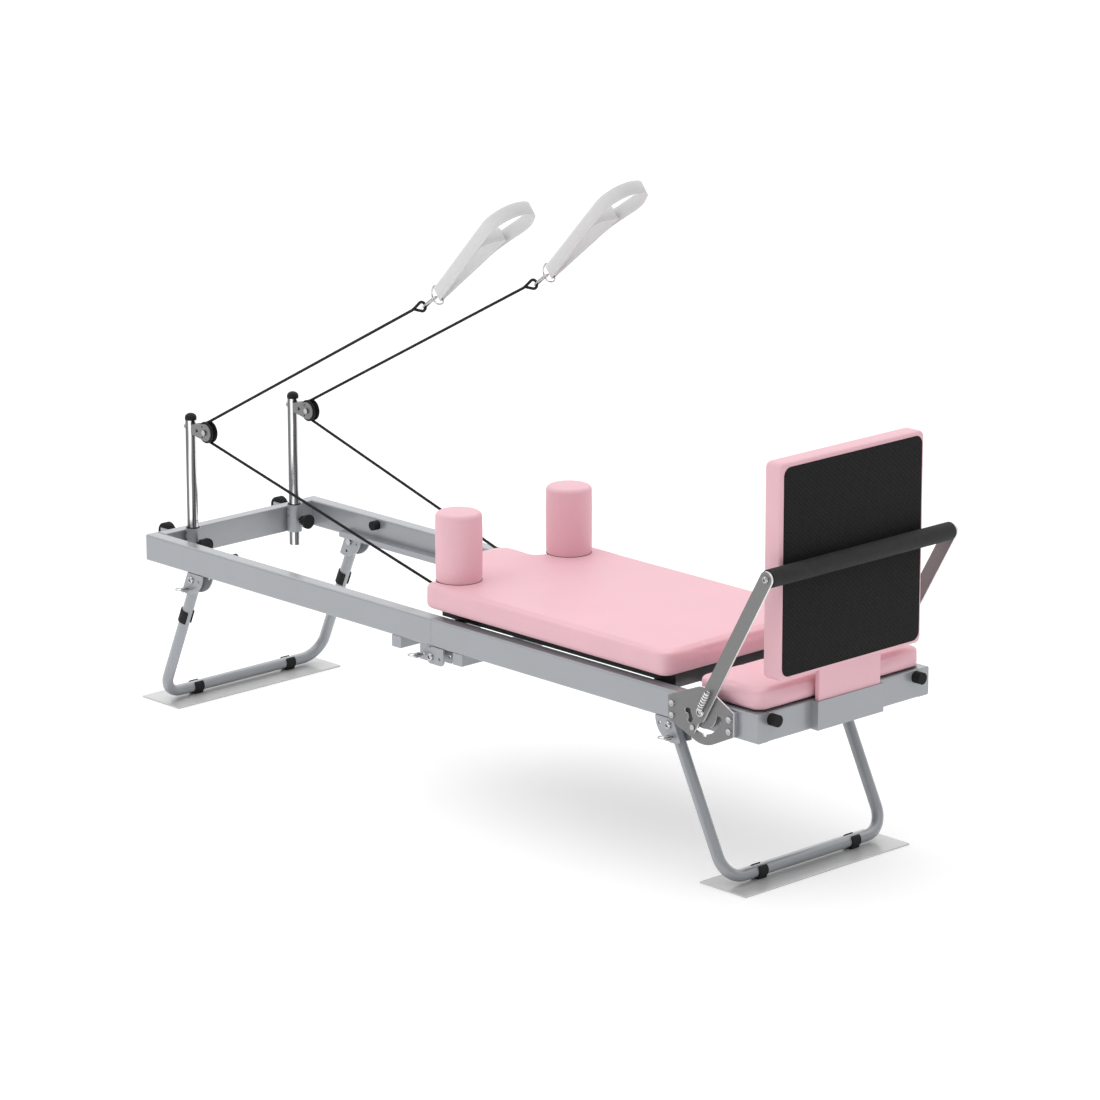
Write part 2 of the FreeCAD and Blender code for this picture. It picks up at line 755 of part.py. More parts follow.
for side, sign in SIDES:
    make_post(side, sign)
    make_pulley(side, sign)
    make_knob(side, sign)


# ---------------------------------------------------------------- ropes, hooks and hand straps
UPPER_SLOPE = 27.12     # degrees above level, from the pulley to the hand
LOWER_SLOPE = -15.0     # from the pulley down to the carriage
UPPER_RUN = 981.1
HAND_DRIFT = 13         # how far outward the hand end stands of the pulley
STRAP_SLOPE = 37.5
ROPE_LINE = size("groove_radius") + size("rope_radius") + 0.3


def tube_along(points, radii, radius, name):
    """A round solid along straight runs and tangent arcs."""
    pieces = rounded(points, radii, closed=False)
    route = Part.Wire([piece.toShape() for piece in pieces])
    heading = (points[1] - points[0]).normalize()
    section = Part.Wire([Part.Circle(points[0], heading, radius).toShape()])
    solid = route.makePipeShell([section], True, False)
    expected = math.pi * radius ** 2 * route.Length
    print(f"{name}: length {route.Length:.1f}, volume over section x length {solid.Volume / expected:.4f}, "
          f"radii {[round(r, 1) for r in radii if r]}")
    item = doc.addObject("Part::Feature", name)
    item.Shape = solid
    return item


def on_pulley(degrees, sign, radius=ROPE_LINE):
    x, z = polar(size("pulley_x"), size("pulley_z"), radius, degrees)
    return Vector(x, sign * size("post_line"), z)


def hand_point(sign):
    """The throat of the rope's eye, where the two strands part."""
    start = on_pulley(90 + UPPER_SLOPE, sign)
    turn = math.radians(UPPER_SLOPE)
    return start + Vector(math.cos(turn) * UPPER_RUN, sign * HAND_DRIFT, math.sin(turn) * UPPER_RUN)


def make_upper_rope(side, sign):
    """Round the back of the pulley, taut up to the hand, and back on itself in a small eye."""
    leave = 90 + UPPER_SLOPE
    arrive = 270 + LOWER_SLOPE
    step = (arrive - leave) / 4
    corner = ROPE_LINE / math.cos(math.radians(step))
    throat = hand_point(sign)
    turn = math.radians(STRAP_SLOPE)
    along = Vector(math.cos(turn), 0, math.sin(turn))
    up = Vector(-math.sin(turn), 0, math.cos(turn))
    eye = [throat, throat + along * 12 + up * 10, throat + along * 45 + up * 10,
           throat + along * 45 - up * 10, throat + along * 10 - up * 11]
    points = [on_pulley(arrive, sign), on_pulley(arrive - step, sign, corner), on_pulley(leave + step, sign, corner),
              *eye]
    radii = (0, ROPE_LINE, ROPE_LINE, 15, 14, 9.9, 9.9, 0)
    keep(tube_along(points, radii, size("rope_radius"), f"rope_upper_{side}"), f"rope_upper_{side}")


def make_lower_rope(side, sign):
    """A taut straight run from the pulley to the anchor on the carriage."""
    start = on_pulley(270 + LOWER_SLOPE, sign)
    anchor_x = size("chassis_head") - size("anchor_reach")
    end = Vector(anchor_x, sign * size("anchor_line"), size("anchor_z"))
    heading = (end - start).normalize()
    start = start + heading * 0.4
    end = end - heading * 1.5
    keep(tube_along([start, end], (0, 0), size("rope_radius"), f"rope_lower_{side}"), f"rope_lower_{side}")


def strap_point(sign, along, across, lift=0):
    """A point at the hand strap: along its axis, across its loop, and up its webbing's width."""
    turn = math.radians(STRAP_SLOPE)
    base = hand_point(sign) + Vector(math.cos(turn), 0, math.sin(turn)) * 93
    return base + Vector(along * math.cos(turn) - lift * math.sin(turn), -across,
                         along * math.sin(turn) + lift * math.cos(turn))


def closed_wire(corners, radius, wire, name):
    """A bent wire that closes on itself, started in the middle of its first side."""
    start = (corners[0] + corners[1]) / 2
    points = [start, *corners[1:], corners[0], start]
    radii = (0, *radius[1:], radius[0], 0)
    return tube_along(points, radii, wire, name)


def make_hook(side, sign):
    """The snap hook in the rope's eye and the D-ring that the strap is sewn round."""
    hook = [strap_point(sign, along, across) for along, across in ((-56, 7), (-11, 7), (-11, -7), (-56, -7))]
    ring = [strap_point(sign, along, 0, lift) for along, lift in ((5, 22), (5, -22), (-21, -22), (-21, 22))]
    wire = size("ring_wire")
    keep(group(closed_wire(hook, (6.9,) * 4, wire, f"hook_{side}"),
               closed_wire(ring, (4, 4, 21, 21), wire, f"ring_{side}")), f"snap_hook_{side}")


STRAP_LOOP = (((-2, -7), (-2, 7), (400, 119), (466, 88), (455, 8), (372, -32), (270, 3)),
              (6.5, 6.5, 70, 45, 50, 60, 200))
INNER_LOOP = (((14, -3), (14, 8), (318, 92.5), (322, 8)), (4, 4, 22, 14))


def webbing_loop(sign, corners, radii):
    """A closed band of webbing standing on edge, open to the air inside."""
    half = size("strap_width") / 2
    outline = rounded([strap_point(sign, along, across, -half) for along, across in corners], radii)
    outer = Part.Wire([piece.toShape() for piece in outline])
    inner = outer.makeOffset2D(-size("strap_thickness"))
    rise = strap_point(sign, 0, 0, half) - strap_point(sign, 0, 0, -half)
    item = doc.addObject("Part::Feature", "Webbing")
    item.Shape = Part.Face(outer).extrude(rise).cut(Part.Face(inner).extrude(rise))
    return item


def make_strap(side, sign):
    """The hand loop with a shorter loop sewn inside it."""
    loops = [webbing_loop(sign, corners, radii) for corners, radii in (STRAP_LOOP, INNER_LOOP)]
    keep(group(*loops), f"strap_{side}")


for side, sign in SIDES:
    make_upper_rope(side, sign)
    make_lower_rope(side, sign)
    make_hook(side, sign)
    make_strap(side, sign)


# ---------------------------------------------------------------- carriage
AXLE_Z = "rail_top - rail_height + track_height + wheel_radius + 0.05"


def make_carriage():
    """A welded ladder frame with wheel hangers, the spring hanger and two rope lugs, and its wheels."""
    beam = "chassis_beam"
    height = "pad_bottom - chassis_bottom"
    length = "chassis_foot - chassis_head"
    welded = []
    bores = []
    for side, sign in SIDES:
        welded.append(box("chassis_head", outward(sign, f"chassis_half - {beam}", beam), "chassis_bottom",
                          length, beam, height))
        welded.append(rod("x", "chassis_head - anchor_reach", f"{sign} * anchor_line", "anchor_z", 6,
                          "anchor_reach + 5"))
        for axle in ("head_axle_x", "foot_axle_x"):
            y = outward(sign, "chassis_half - 6", "6")
            welded.append(box(f"{axle} - 20", y, "chassis_bottom - 38", 40, 6, 42))
            bores.append(rod("y", axle, f"{y} - 1", AXLE_Z, "axle_radius + running_gap", 8))
    rungs = ("chassis_head", "(chassis_head + spring_start) / 2", f"spring_start - {beam}", f"chassis_foot - {beam}")
    for x in rungs:
        welded.append(box(x, f"-(chassis_half - {beam})", "chassis_bottom", beam,
                          f"2 * (chassis_half - {beam})", height))
    welded.append(box(f"chassis_foot - {beam}", "-chassis_half", "end_rung_bottom", beam, "2 * chassis_half",
                      "pad_bottom - end_rung_bottom"))
    welded.append(box(f"spring_start - {beam}", -115, "spring_z - 10", 8, 230, "chassis_bottom - spring_z + 12"))
    keep(cut(fuse(*welded), group(*bores)), "carriage_frame")

    for end in ("head", "foot"):
        wheels = []
        for side, sign in SIDES:
            y = outward(sign, "chassis_half + 5", "wheel_width")
            tyre = rod("y", f"{end}_axle_x", y, AXLE_Z, "wheel_radius", "wheel_width")
            stub = rod("y", f"{end}_axle_x", outward(sign, "chassis_half - 12", "17"), AXLE_Z, "axle_radius", 17)
            wheels.append(fuse(tyre, stub))
        keep(group(*wheels), f"carriage_{end}_wheels")


def make_pad():
    """The upholstered bed on its board, with the headrest standing out between the shoulder rests."""
    head = size("pad_head")
    foot = size("pad_foot")
    half = size("pad_half")
    rest = size("headrest_half")
    tip = size("headrest_end")
    corner = size("pad_round")
    outline = flat((head, -half), (foot, -half), (foot, half), (head, half), (head, rest), (tip, rest),
                   (tip, -rest), (head, -rest))
    radii = (corner, 25, 25, corner, 30, 45, 45, 30)
    body = add_body("carriage_pad")
    pad(body, add_sketch(body, "XY_Plane", rounded(outline, radii)), "pad_top - pad_bottom")
    place(body, 0, 0, "pad_bottom")
    keep(body, "carriage_pad")
    for side, sign in SIDES:
        post = rod("z", "rest_x", f"{sign} * rest_line", "pad_top", "rest_radius", "rest_top - pad_top")
        keep(post, f"shoulder_rest_{side}")


make_carriage()
make_pad()


def make_rail_stops():
    """Rubber buffers on the rails' inner faces that end the carriage's run at the head."""
    stops = []
    for side, sign in SIDES:
        y = outward(sign, "frame_width / 2 - rail_width - 20", "20")
        stops.append(rod("y", "stop_x", y, "rail_top - 18", "stop_radius", 20))
    keep(group(*stops), "rail_stops")


def make_springs():
    springs = []
    for line in SPRING_LINES:
        springs.append(rod("x", "spring_start - 22", line, "spring_z", "spring_radius",
                           "spring_bar_x - spring_start + 22"))
    keep(group(*springs), "springs")
    bar = box("spring_bar_x", "rail_width - frame_width / 2", "spring_z - spring_bar_size / 2",
              "spring_bar_size", "frame_width - 2 * rail_width", "spring_bar_size")
    keep(bar, "spring_bar")


make_rail_stops()
make_springs()


# ---------------------------------------------------------------- foot bar
def make_side_plate():
    """Both slotted plates: a wide strap with a round middle, an arc slot and its notches."""
    pivot_x = size("bar_pivot_x")
    pivot_z = size("bar_pivot_z")
    left = size("plate_head") - pivot_x
    right = size("plate_foot") - pivot_x
    low = size("plate_low") - pivot_z
    high = size("plate_high") - pivot_z
    top_radius = size("plate_top_radius")
    low_radius = size("plate_low_radius")
    spots = {}
    for name, x, z, radius, outside in (("top_left", left, high, top_radius, -1),
                                        ("top_right", right, high, top_radius, 1),
                                        ("low_right", right, low, low_radius, -1),
                                        ("low_left", left, low, low_radius, 1)):
        spots[name] = Vector(*polar(0, 0, radius, tangent_angle(x, z, radius, outside)), 0)
    corners = {"top_left": Vector(left, high, 0), "top_right": Vector(right, high, 0),
               "low_right": Vector(right, low, 0), "low_left": Vector(left, low, 0)}
    top = Part.Arc(spots["top_left"], Vector(0, top_radius, 0), spots["top_right"])
    bottom = Part.Arc(spots["low_right"], Vector(0, -low_radius, 0), spots["low_left"])
    outline = [
        Part.LineSegment(corners["top_left"], spots["top_left"]), top,
        Part.LineSegment(spots["top_right"], corners["top_right"]),
        Part.LineSegment(corners["top_right"], corners["low_right"]),
        Part.LineSegment(corners["low_right"], spots["low_right"]), bottom,
        Part.LineSegment(spots["low_left"], corners["low_left"]),
        Part.LineSegment(corners["low_left"], corners["top_left"]),
    ]
    inner = size("slot_radius") - size("slot_half")
    outer = size("slot_radius") + size("slot_half")
    first, last = LOCK_NOTCHES[-1] - 7.5, LOCK_NOTCHES[0] + 7.5
    middle = (first + last) / 2

    def at(radius, degrees):
        return Vector(*polar(0, 0, radius, degrees), 0)

    slot = [
        Part.Arc(at(outer, first), at(outer, middle), at(outer, last)),
        Part.LineSegment(at(outer, last), at(inner, last)),
        Part.Arc(at(inner, last), at(inner, middle), at(inner, first)),
        Part.LineSegment(at(inner, first), at(outer, first)),
    ]
    bolt_spots = [(size("plate_head") + 13 - pivot_x, z) for z in (low + 12, high - 18)]
    bolt_spots += [(size("plate_foot") - 13 - pivot_x, z) for z in (low + 12, high - 18)]
    plates = []
    for side, sign in SIDES:
        body = add_body(f"side_plate_{side}")
        pad(body, add_sketch(body, "XZ_Plane", outline), "plate_thickness", reverse=True)
        holes = [circle(x, z, 4) for x, z in bolt_spots] + [circle(0, 0, 7), slot]
        pocket_through(body, add_sketch(body, "XZ_Plane", *holes))
        for degrees in LOCK_NOTCHES:
            depth = size("notch_radius") + size("lock_radius") + 0.3
            half = size("lock_radius") + 0.3
            turn = math.radians(degrees)
            reach = Vector(math.cos(turn), math.sin(turn), 0)
            across = Vector(-math.sin(turn), math.cos(turn), 0)
            start = reach * (outer - 2)
            end = reach * depth
            notch = rounded([start - across * half, end - across * half, end + across * half,
                             start + across * half], (0, half - 0.1, half - 0.1, 0))
            pocket_through(body, add_sketch(body, "XZ_Plane", notch))
        place(body, "bar_pivot_x", outward(sign, "plate_inner", "plate_thickness"), "bar_pivot_z")
        plates.append(body)
    keep(group(*plates), "side_plates")
    bolts = []
    for side, sign in SIDES:
        for x, z in bolt_spots:
            shank = rod("y", pivot_x + x, outward(sign, "frame_width / 2", "15"), pivot_z + z, 4, 15)
            head = rod("y", pivot_x + x, outward(sign, "plate_inner + plate_thickness", "3.6"), pivot_z + z, 8, 3.6)
            bolts.append(fuse(shank, head))
        stem = rod("y", "bar_pivot_x", outward(sign, "plate_inner - 6", "20.5"), "bar_pivot_z", 7, 20.5)
        rear = rod("y", "bar_pivot_x", outward(sign, "plate_inner - 6", "6"), "bar_pivot_z", 11, 6)
        front = rod("y", "bar_pivot_x", outward(sign, "arm_inner + arm_thickness + 0.3", "4"), "bar_pivot_z", 11, 4)
        bolts.append(fuse(stem, rear, front))
    keep(group(*bolts), "side_plate_bolts")


def bar_spot(reach):
    """Expressions for a point at a distance from the pivot, along the foot bar's arm."""
    turn = math.radians(size("bar_angle"))
    return f"bar_pivot_x + ({reach}) * {math.cos(turn):.6f}", f"bar_pivot_z + ({reach}) * {math.sin(turn):.6f}"


def make_foot_bar():
    """Two flat arms joined by a tube, with the foam grip round it."""
    half = size("arm_width") / 2
    length = size("bar_length")
    tail = size("notch_radius") + size("lock_radius") + 3
    pieces = []
    for side, sign in SIDES:
        body = add_body(f"arm_{side}")
        outline = flat((-tail, -9.5), (-30, -9.5), (-16, -half), (length + half, -half), (length + half, half),
                       (-16, half), (-30, 9.5), (-tail, 9.5))
        profile = rounded(outline, (8, 12, 14, half - 0.1, half - 0.1, 14, 12, 8))
        holes = [circle(0, 0, size("pivot_radius") + 1 + size("running_gap"))]
        room = size("lock_radius") + 0.3
        slot = rectangle(-size("notch_radius") - room, -room, -size("slot_radius") + room, room, room - 0.1)
        pad(body, add_sketch(body, "XZ_Plane", profile, *holes, slot), "arm_thickness", reverse=True)
        place(body, "bar_pivot_x", outward(sign, "arm_inner", "arm_thickness"), "bar_pivot_z",
              Rotation(Vector(0, 1, 0), -size("bar_angle")))
        pieces.append(body)
        end_x, end_z = bar_spot("bar_length")
        pieces.append(rod("y", end_x, outward(sign, "arm_inner + arm_thickness", "5"), end_z, 9, 5))
    pieces.append(rod("y", end_x, "-arm_inner", end_z, "grip_core", "2 * arm_inner"))
    keep(group(*pieces), "foot_bar_arms")
    outer = rod("y", end_x, "-arm_inner + 2", end_z, "grip_radius", "2 * arm_inner - 4")
    bore = rod("y", end_x, "-arm_inner + 1", end_z, "grip_core", "2 * arm_inner - 2")
    keep(cut(outer, bore), "foot_bar_grip")

    locks = []
    springs = []
    for side, sign in SIDES:
        x, z = bar_spot("-slot_radius")
        stem = rod("y", x, outward(sign, "plate_inner - 3", "17.5"), z, "lock_radius", 17.5)
        head = rod("y", x, outward(sign, "arm_inner + arm_thickness + 0.3", "3"), z, 7, 3)
        locks.append(fuse(stem, head))
        x, z = bar_spot(14)
        coil = doc.addObject("Part::Cylinder", "Coil")
        bind(coil, "Radius", 8)
        bind(coil, "Height", 58)
        y = f"{sign} * (arm_inner + arm_thickness + 8.3)"
        springs.append(place(coil, x, y, z, Rotation(Vector(0, 1, 0), 90 - size("bar_angle"))))
    keep(group(*locks), "foot_bar_locks")
    keep(group(*springs), "foot_bar_springs")


make_side_plate()
make_foot_bar()


# ---------------------------------------------------------------- jump board, platform and bumpers
def make_jump_board():
    """A board with a neck that stands in the sleeve, in an upholstered shell."""
    panel = box("core_back", "20 - board_half", "board_low + 12", "core_front - core_back",
                "2 * board_half - 40", "board_high - board_low - 24")
    neck = box("core_back", "-neck_half", "neck_low", "core_front - core_back", "2 * neck_half",
               "board_low + 13 - neck_low")
    keep(fuse(panel, neck), "jump_board_core")

    shell = add_body("board_shell")
    half = size("board_half")
    outline = rectangle(-half, size("board_low"), half, size("board_high"), 14)
    pad(shell, add_sketch(shell, "YZ_Plane", outline), "board_front - board_back")
    place(shell, "board_back", 0, 0)
    room = fuse(
        box("core_back", "20 - board_half", "board_low + 12", "core_front - core_back",
            "2 * board_half - 40", "board_high - board_low - 24"),
        box("core_back", "-neck_half", "board_low - 1", "core_front - core_back", "2 * neck_half", 14))
    keep(cut(shell, room), "jump_board_pad")


def make_platform():
    body = add_body("platform_pad")
    half = size("platform_half")
    outline = rectangle(size("platform_head"), -half, size("platform_foot"), half, 30)
    pad(body, add_sketch(body, "XY_Plane", outline), "platform_high - platform_low")
    place(body, 0, 0, "platform_low")
    keep(body, "platform_pad")


def make_bumpers():
    bumpers = [rod("x", "foot_end", f"{sign} * bumper_line", "bumper_z", "bumper_radius", "bumper_length")
               for side, sign in SIDES]
    keep(group(*bumpers), "end_bumpers")


make_jump_board()
make_platform()
make_bumpers()


# ---------------------------------------------------------------- checks and export
doc.recompute()
for item in doc.Objects:
    if "Invalid" in item.State or "Error" in item.State:
        raise RuntimeError(f"{item.Name} ({item.Label}) failed: {item.State}")
os.makedirs("parts", exist_ok=True)
for item in subparts:
    shape = item.Shape
    if shape.isNull() or not shape.isValid() or not shape.Solids:
        raise RuntimeError(f"{item.Label} has no valid solid")
    shape.exportStep(f"parts/{item.Label}.step")
    limits = shape.BoundBox
    print(f"{item.Label:24s} solids {len(shape.Solids)}  volume {shape.Volume / 1000:9.1f} cm3  "
          f"x {limits.XMin:.1f}..{limits.XMax:.1f}  y {limits.YMin:.1f}..{limits.YMax:.1f}  "
          f"z {limits.ZMin:.1f}..{limits.ZMax:.1f}")
print(f"{len(subparts)} sub-parts")
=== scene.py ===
import math

import bmesh
import bpy
from mathutils import Matrix, Vector


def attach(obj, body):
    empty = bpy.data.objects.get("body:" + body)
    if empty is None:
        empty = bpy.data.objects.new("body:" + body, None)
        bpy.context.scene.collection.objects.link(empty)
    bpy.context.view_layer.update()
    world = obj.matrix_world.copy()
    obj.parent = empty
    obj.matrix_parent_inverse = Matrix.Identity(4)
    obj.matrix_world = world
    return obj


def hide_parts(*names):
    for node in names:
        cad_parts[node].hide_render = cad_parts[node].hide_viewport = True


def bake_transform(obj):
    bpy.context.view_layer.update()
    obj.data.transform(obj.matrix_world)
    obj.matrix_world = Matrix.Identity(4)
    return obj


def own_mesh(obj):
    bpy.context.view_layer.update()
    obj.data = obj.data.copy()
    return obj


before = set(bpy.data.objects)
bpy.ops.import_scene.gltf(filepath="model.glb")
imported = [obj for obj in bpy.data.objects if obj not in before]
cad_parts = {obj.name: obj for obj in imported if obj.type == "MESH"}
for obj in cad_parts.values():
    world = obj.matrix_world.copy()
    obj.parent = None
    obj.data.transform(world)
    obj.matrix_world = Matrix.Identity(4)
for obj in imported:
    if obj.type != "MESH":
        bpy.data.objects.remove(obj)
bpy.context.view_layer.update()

SIDES = (("near", -1), ("far", 1))
MM = 0.001

# the camera: azimuth, elevation and roll in degrees, place in metres, lens in millimetres
CAMERA_TURN = (46.529, 15.23, -0.089)
CAMERA_PLACE = (8.87168, -8.30405, 3.90311)
CAMERA_LENS = 160.984


# ---------------------------------------------------------------- camera, floor and light
def add_camera():
    azimuth, elevation, roll = (math.radians(a) for a in CAMERA_TURN)
    back = Vector((math.sin(azimuth) * math.cos(elevation), -math.cos(azimuth) * math.cos(elevation),
                   math.sin(elevation)))
    right = Vector((0, 0, 1)).cross(back).normalized()
    up = back.cross(right)
    tilted = right * math.cos(roll) + up * math.sin(roll)
    upright = up * math.cos(roll) - right * math.sin(roll)
    data = bpy.data.cameras.new("camera")
    data.sensor_width = 36
    data.lens = CAMERA_LENS
    data.clip_end = 200
    camera = bpy.data.objects.new("camera", data)
    bpy.context.collection.objects.link(camera)
    turn = Matrix((tilted, upright, back)).transposed().to_4x4()
    camera.matrix_world = Matrix.Translation(CAMERA_PLACE) @ turn
    bpy.context.scene.camera = camera


def add_light(name, place, target, size, power):
    data = bpy.data.lights.new(name, "AREA")
    data.shape = "RECTANGLE"
    data.size, data.size_y = size
    data.energy = power
    light = bpy.data.objects.new(name, data)
    bpy.context.collection.objects.link(light)
    light.location = place
    aim = (Vector(target) - Vector(place)).to_track_quat("-Z", "Y")
    light.rotation_euler = aim.to_euler()


def add_stage():
    """A wide pale floor, glowing slightly so that it stays near white, with the studio and one soft key light."""
    mesh = bpy.data.meshes.new("floor")
    reach, drop = 30, 0.0006
    mesh.from_pydata([(-reach, -reach, 0), (reach, -reach, 0), (reach, reach, 0), (-reach, reach, 0)], [],
                     [(0, 1, 2, 3)])
    floor = bpy.data.objects.new("floor", mesh)
    floor.location.z = -drop
    bpy.context.collection.objects.link(floor)
    look = bpy.data.materials.new("floor")
    look.use_nodes = True
    shader = look.node_tree.nodes["Principled BSDF"]
    shader.inputs["Base Color"].default_value = (0.8, 0.8, 0.8, 1)
    shader.inputs["Roughness"].default_value = 0.9
    shader.inputs["Emission Color"].default_value = (1, 1, 1, 1)
    shader.inputs["Emission Strength"].default_value = 0.3
    mesh.materials.append(look)
    add_studio()
    add_light("key", (-1.5, -4.0, 5.0), (0, 0, 0.5), (4.0, 4.0), 60)


def add_studio():
    """A white studio: bright overhead and behind the object, dimmer in front of it."""
    rear_way, dimmest = (-0.72, 0.69, 0.12), 0.26
    world = bpy.data.worlds.new("studio")
    world.use_nodes = True
    tree = world.node_tree
    sky = tree.nodes["Background"]
    place = tree.nodes.new("ShaderNodeTexCoord").outputs["Generated"]
    rear = tree.nodes.new("ShaderNodeVectorMath")
    rear.operation = "DOT_PRODUCT"
    rear.inputs[1].default_value = rear_way
    tree.links.new(place, rear.inputs[0])
    overhead = tree.nodes.new("ShaderNodeVectorMath")
    overhead.operation = "DOT_PRODUCT"
    overhead.inputs[1].default_value = (0, 0, 1)
    tree.links.new(place, overhead.inputs[0])
    total = None
    for source, low, high, gain in ((rear, -0.2, 0.9, 0.95), (overhead, 0.0, 0.9, 0.75)):
        ramp = tree.nodes.new("ShaderNodeMapRange")
        ramp.interpolation_type = "SMOOTHSTEP"
        ramp.inputs["From Min"].default_value = low
        ramp.inputs["From Max"].default_value = high
        ramp.inputs["To Min"].default_value = dimmest if total is None else 0.0
        ramp.inputs["To Max"].default_value = gain
        tree.links.new(source.outputs["Value"], ramp.inputs["Value"])
        if total is None:
            total = ramp.outputs["Result"]
            continue
        plus = tree.nodes.new("ShaderNodeMath")
        tree.links.new(total, plus.inputs[0])
        tree.links.new(ramp.outputs["Result"], plus.inputs[1])
        total = plus.outputs[0]
    tree.links.new(total, sky.inputs["Strength"])
    sky.inputs["Color"].default_value = (1, 1, 1, 1)
    bpy.context.scene.world = world
    bpy.context.scene.view_settings.view_transform = "Standard"


add_camera()
add_stage()


# ---------------------------------------------------------------- materials
def srgb(*channels):
    """Linear colour of an 8-bit screen colour."""
    out = []
    for value in channels:
        share = value / 255
        out.append(share / 12.92 if share <= 0.04045 else ((share + 0.055) / 1.055) ** 2.4)
    return (*out, 1.0)


def scaled(color, share, lift=0.0):
    """The colour brightened or darkened by a share."""
    return tuple(min(1.0, c * share + lift) for c in color[:3]) + (1.0,)


class Finish:
    """A Principled material with procedural colour, roughness and relief."""

    def __init__(self, name, color, rough, metal=0.0, **fixed):
        self.material = bpy.data.materials.new(name)
        self.material.use_nodes = True
        self.tree = self.material.node_tree
        self.shader = self.tree.nodes["Principled BSDF"]
        self.color = color
        self.shader.inputs["Base Color"].default_value = color
        self.shader.inputs["Roughness"].default_value = rough
        self.shader.inputs["Metallic"].default_value = metal
        for key, value in fixed.items():
            self.shader.inputs[key.replace("_", " ")].default_value = value
        self.rough = rough
        coords = self.add("ShaderNodeTexCoord")
        self.place = coords.outputs["Object"]
        self.uv = coords.outputs["UV"]
        self.relief = None

    def add(self, kind, **props):
        node = self.tree.nodes.new(kind)
        for key, value in props.items():
            setattr(node, key, value)
        return node

    def link(self, source, target):
        self.tree.links.new(source, target)

    def math(self, operation, first, second=None, third=None):
        node = self.add("ShaderNodeMath", operation=operation)
        for socket, value in zip(node.inputs, (first, second, third)):
            if value is None:
                continue
            if isinstance(value, (int, float)):
                socket.default_value = value
            else:
                self.link(value, socket)
        return node.outputs[0]

    def noise(self, scale, detail=3.0, rough=0.55, stretch=None, where=None):
        node = self.add("ShaderNodeTexNoise")
        node.inputs["Scale"].default_value = scale
        node.inputs["Detail"].default_value = detail
        node.inputs["Roughness"].default_value = rough
        place = where or self.place
        if stretch:
            mapping = self.add("ShaderNodeMapping")
            mapping.inputs["Scale"].default_value = stretch
            self.link(place, mapping.inputs["Vector"])
            place = mapping.outputs["Vector"]
        self.link(place, node.inputs["Vector"])
        return node.outputs["Fac"]

    def cells(self, scale, feature="F1"):
        node = self.add("ShaderNodeTexVoronoi", feature=feature)
        node.inputs["Scale"].default_value = scale
        self.link(self.place, node.inputs["Vector"])
        return node.outputs["Distance"]

    def spread(self, value, low, high, start=0.3, end=0.7):
        node = self.add("ShaderNodeMapRange")
        node.inputs["From Min"].default_value = start
        node.inputs["From Max"].default_value = end
        node.inputs["To Min"].default_value = low
        node.inputs["To Max"].default_value = high
        self.link(value, node.inputs["Value"])
        return node.outputs["Result"]

    def mix(self, share, first, second):
        node = self.add("ShaderNodeMix", data_type="RGBA")
        self.link(share, node.inputs["Factor"])
        for name, value in (("A", first), ("B", second)):
            socket = [s for s in node.inputs if s.name == name and s.type == "RGBA"][0]
            if isinstance(value, tuple):
                socket.default_value = value
            else:
                self.link(value, socket)
        return [s for s in node.outputs if s.type == "RGBA"][0]

    def tint(self, value, dark, light):
        """Colour that drifts a little round the finish's own, by the value."""
        return self.mix(value, scaled(self.color, dark), scaled(self.color, light))

    def paint(self, color):
        self.link(color, self.shader.inputs["Base Color"])
        return self

    def gloss(self, value, low, high):
        self.link(self.spread(value, low, high), self.shader.inputs["Roughness"])
        return self

    def bump(self, height, distance, strength=1.0):
        node = self.add("ShaderNodeBump")
        node.inputs["Distance"].default_value = distance
        node.inputs["Strength"].default_value = strength
        self.link(height, node.inputs["Height"])
        if self.relief is not None:
            self.link(self.relief, node.inputs["Normal"])
        self.relief = node.outputs["Normal"]
        self.link(self.relief, self.shader.inputs["Normal"])
        return self


def powder_coat(name, color, rough, metal):
    """Sprayed powder paint: orange peel, faint clouding and tiny specks."""
    f = Finish(name, color, rough, metal, Coat_Weight=0.8, Coat_Roughness=0.16)
    clouds = f.noise(6, 4)
    specks = f.noise(900, 2)
    shade = f.mix(f.spread(specks, 0.0, 0.10), f.tint(f.spread(clouds, 0, 1), 0.95, 1.04),
                  scaled(color, 1.35))
    f.paint(shade).gloss(clouds, rough - 0.05, rough + 0.07)
    return f.bump(f.noise(420, 2), 0.00012, 0.35)


def satin_steel(name, color, rough, cut_edge_highlight=None):
    """Rolled plate with fine grain along its length; its edge faces are painted near white, a painted highlight."""
    f = Finish(name, color, rough, 0.4)
    grain = f.noise(60, 6, 0.7, stretch=(1, 1, 40))
    shade = f.tint(f.spread(grain, 0, 1), 0.88, 1.1)
    if cut_edge_highlight:
        # painted highlight: faces that don't look along Y, the plate's edges, take the near-white colour
        geometry = f.add("ShaderNodeNewGeometry")
        apart = f.add("ShaderNodeSeparateXYZ")
        f.link(geometry.outputs["True Normal"], apart.inputs[0])
        facing = f.math("ABSOLUTE", apart.outputs["Y"])
        edge = f.math("LESS_THAN", facing, 0.75)
        shade = f.mix(edge, shade, cut_edge_highlight)
    f.paint(shade).gloss(grain, rough - 0.06, rough + 0.1)
    return f.bump(grain, 0.00005, 0.3)


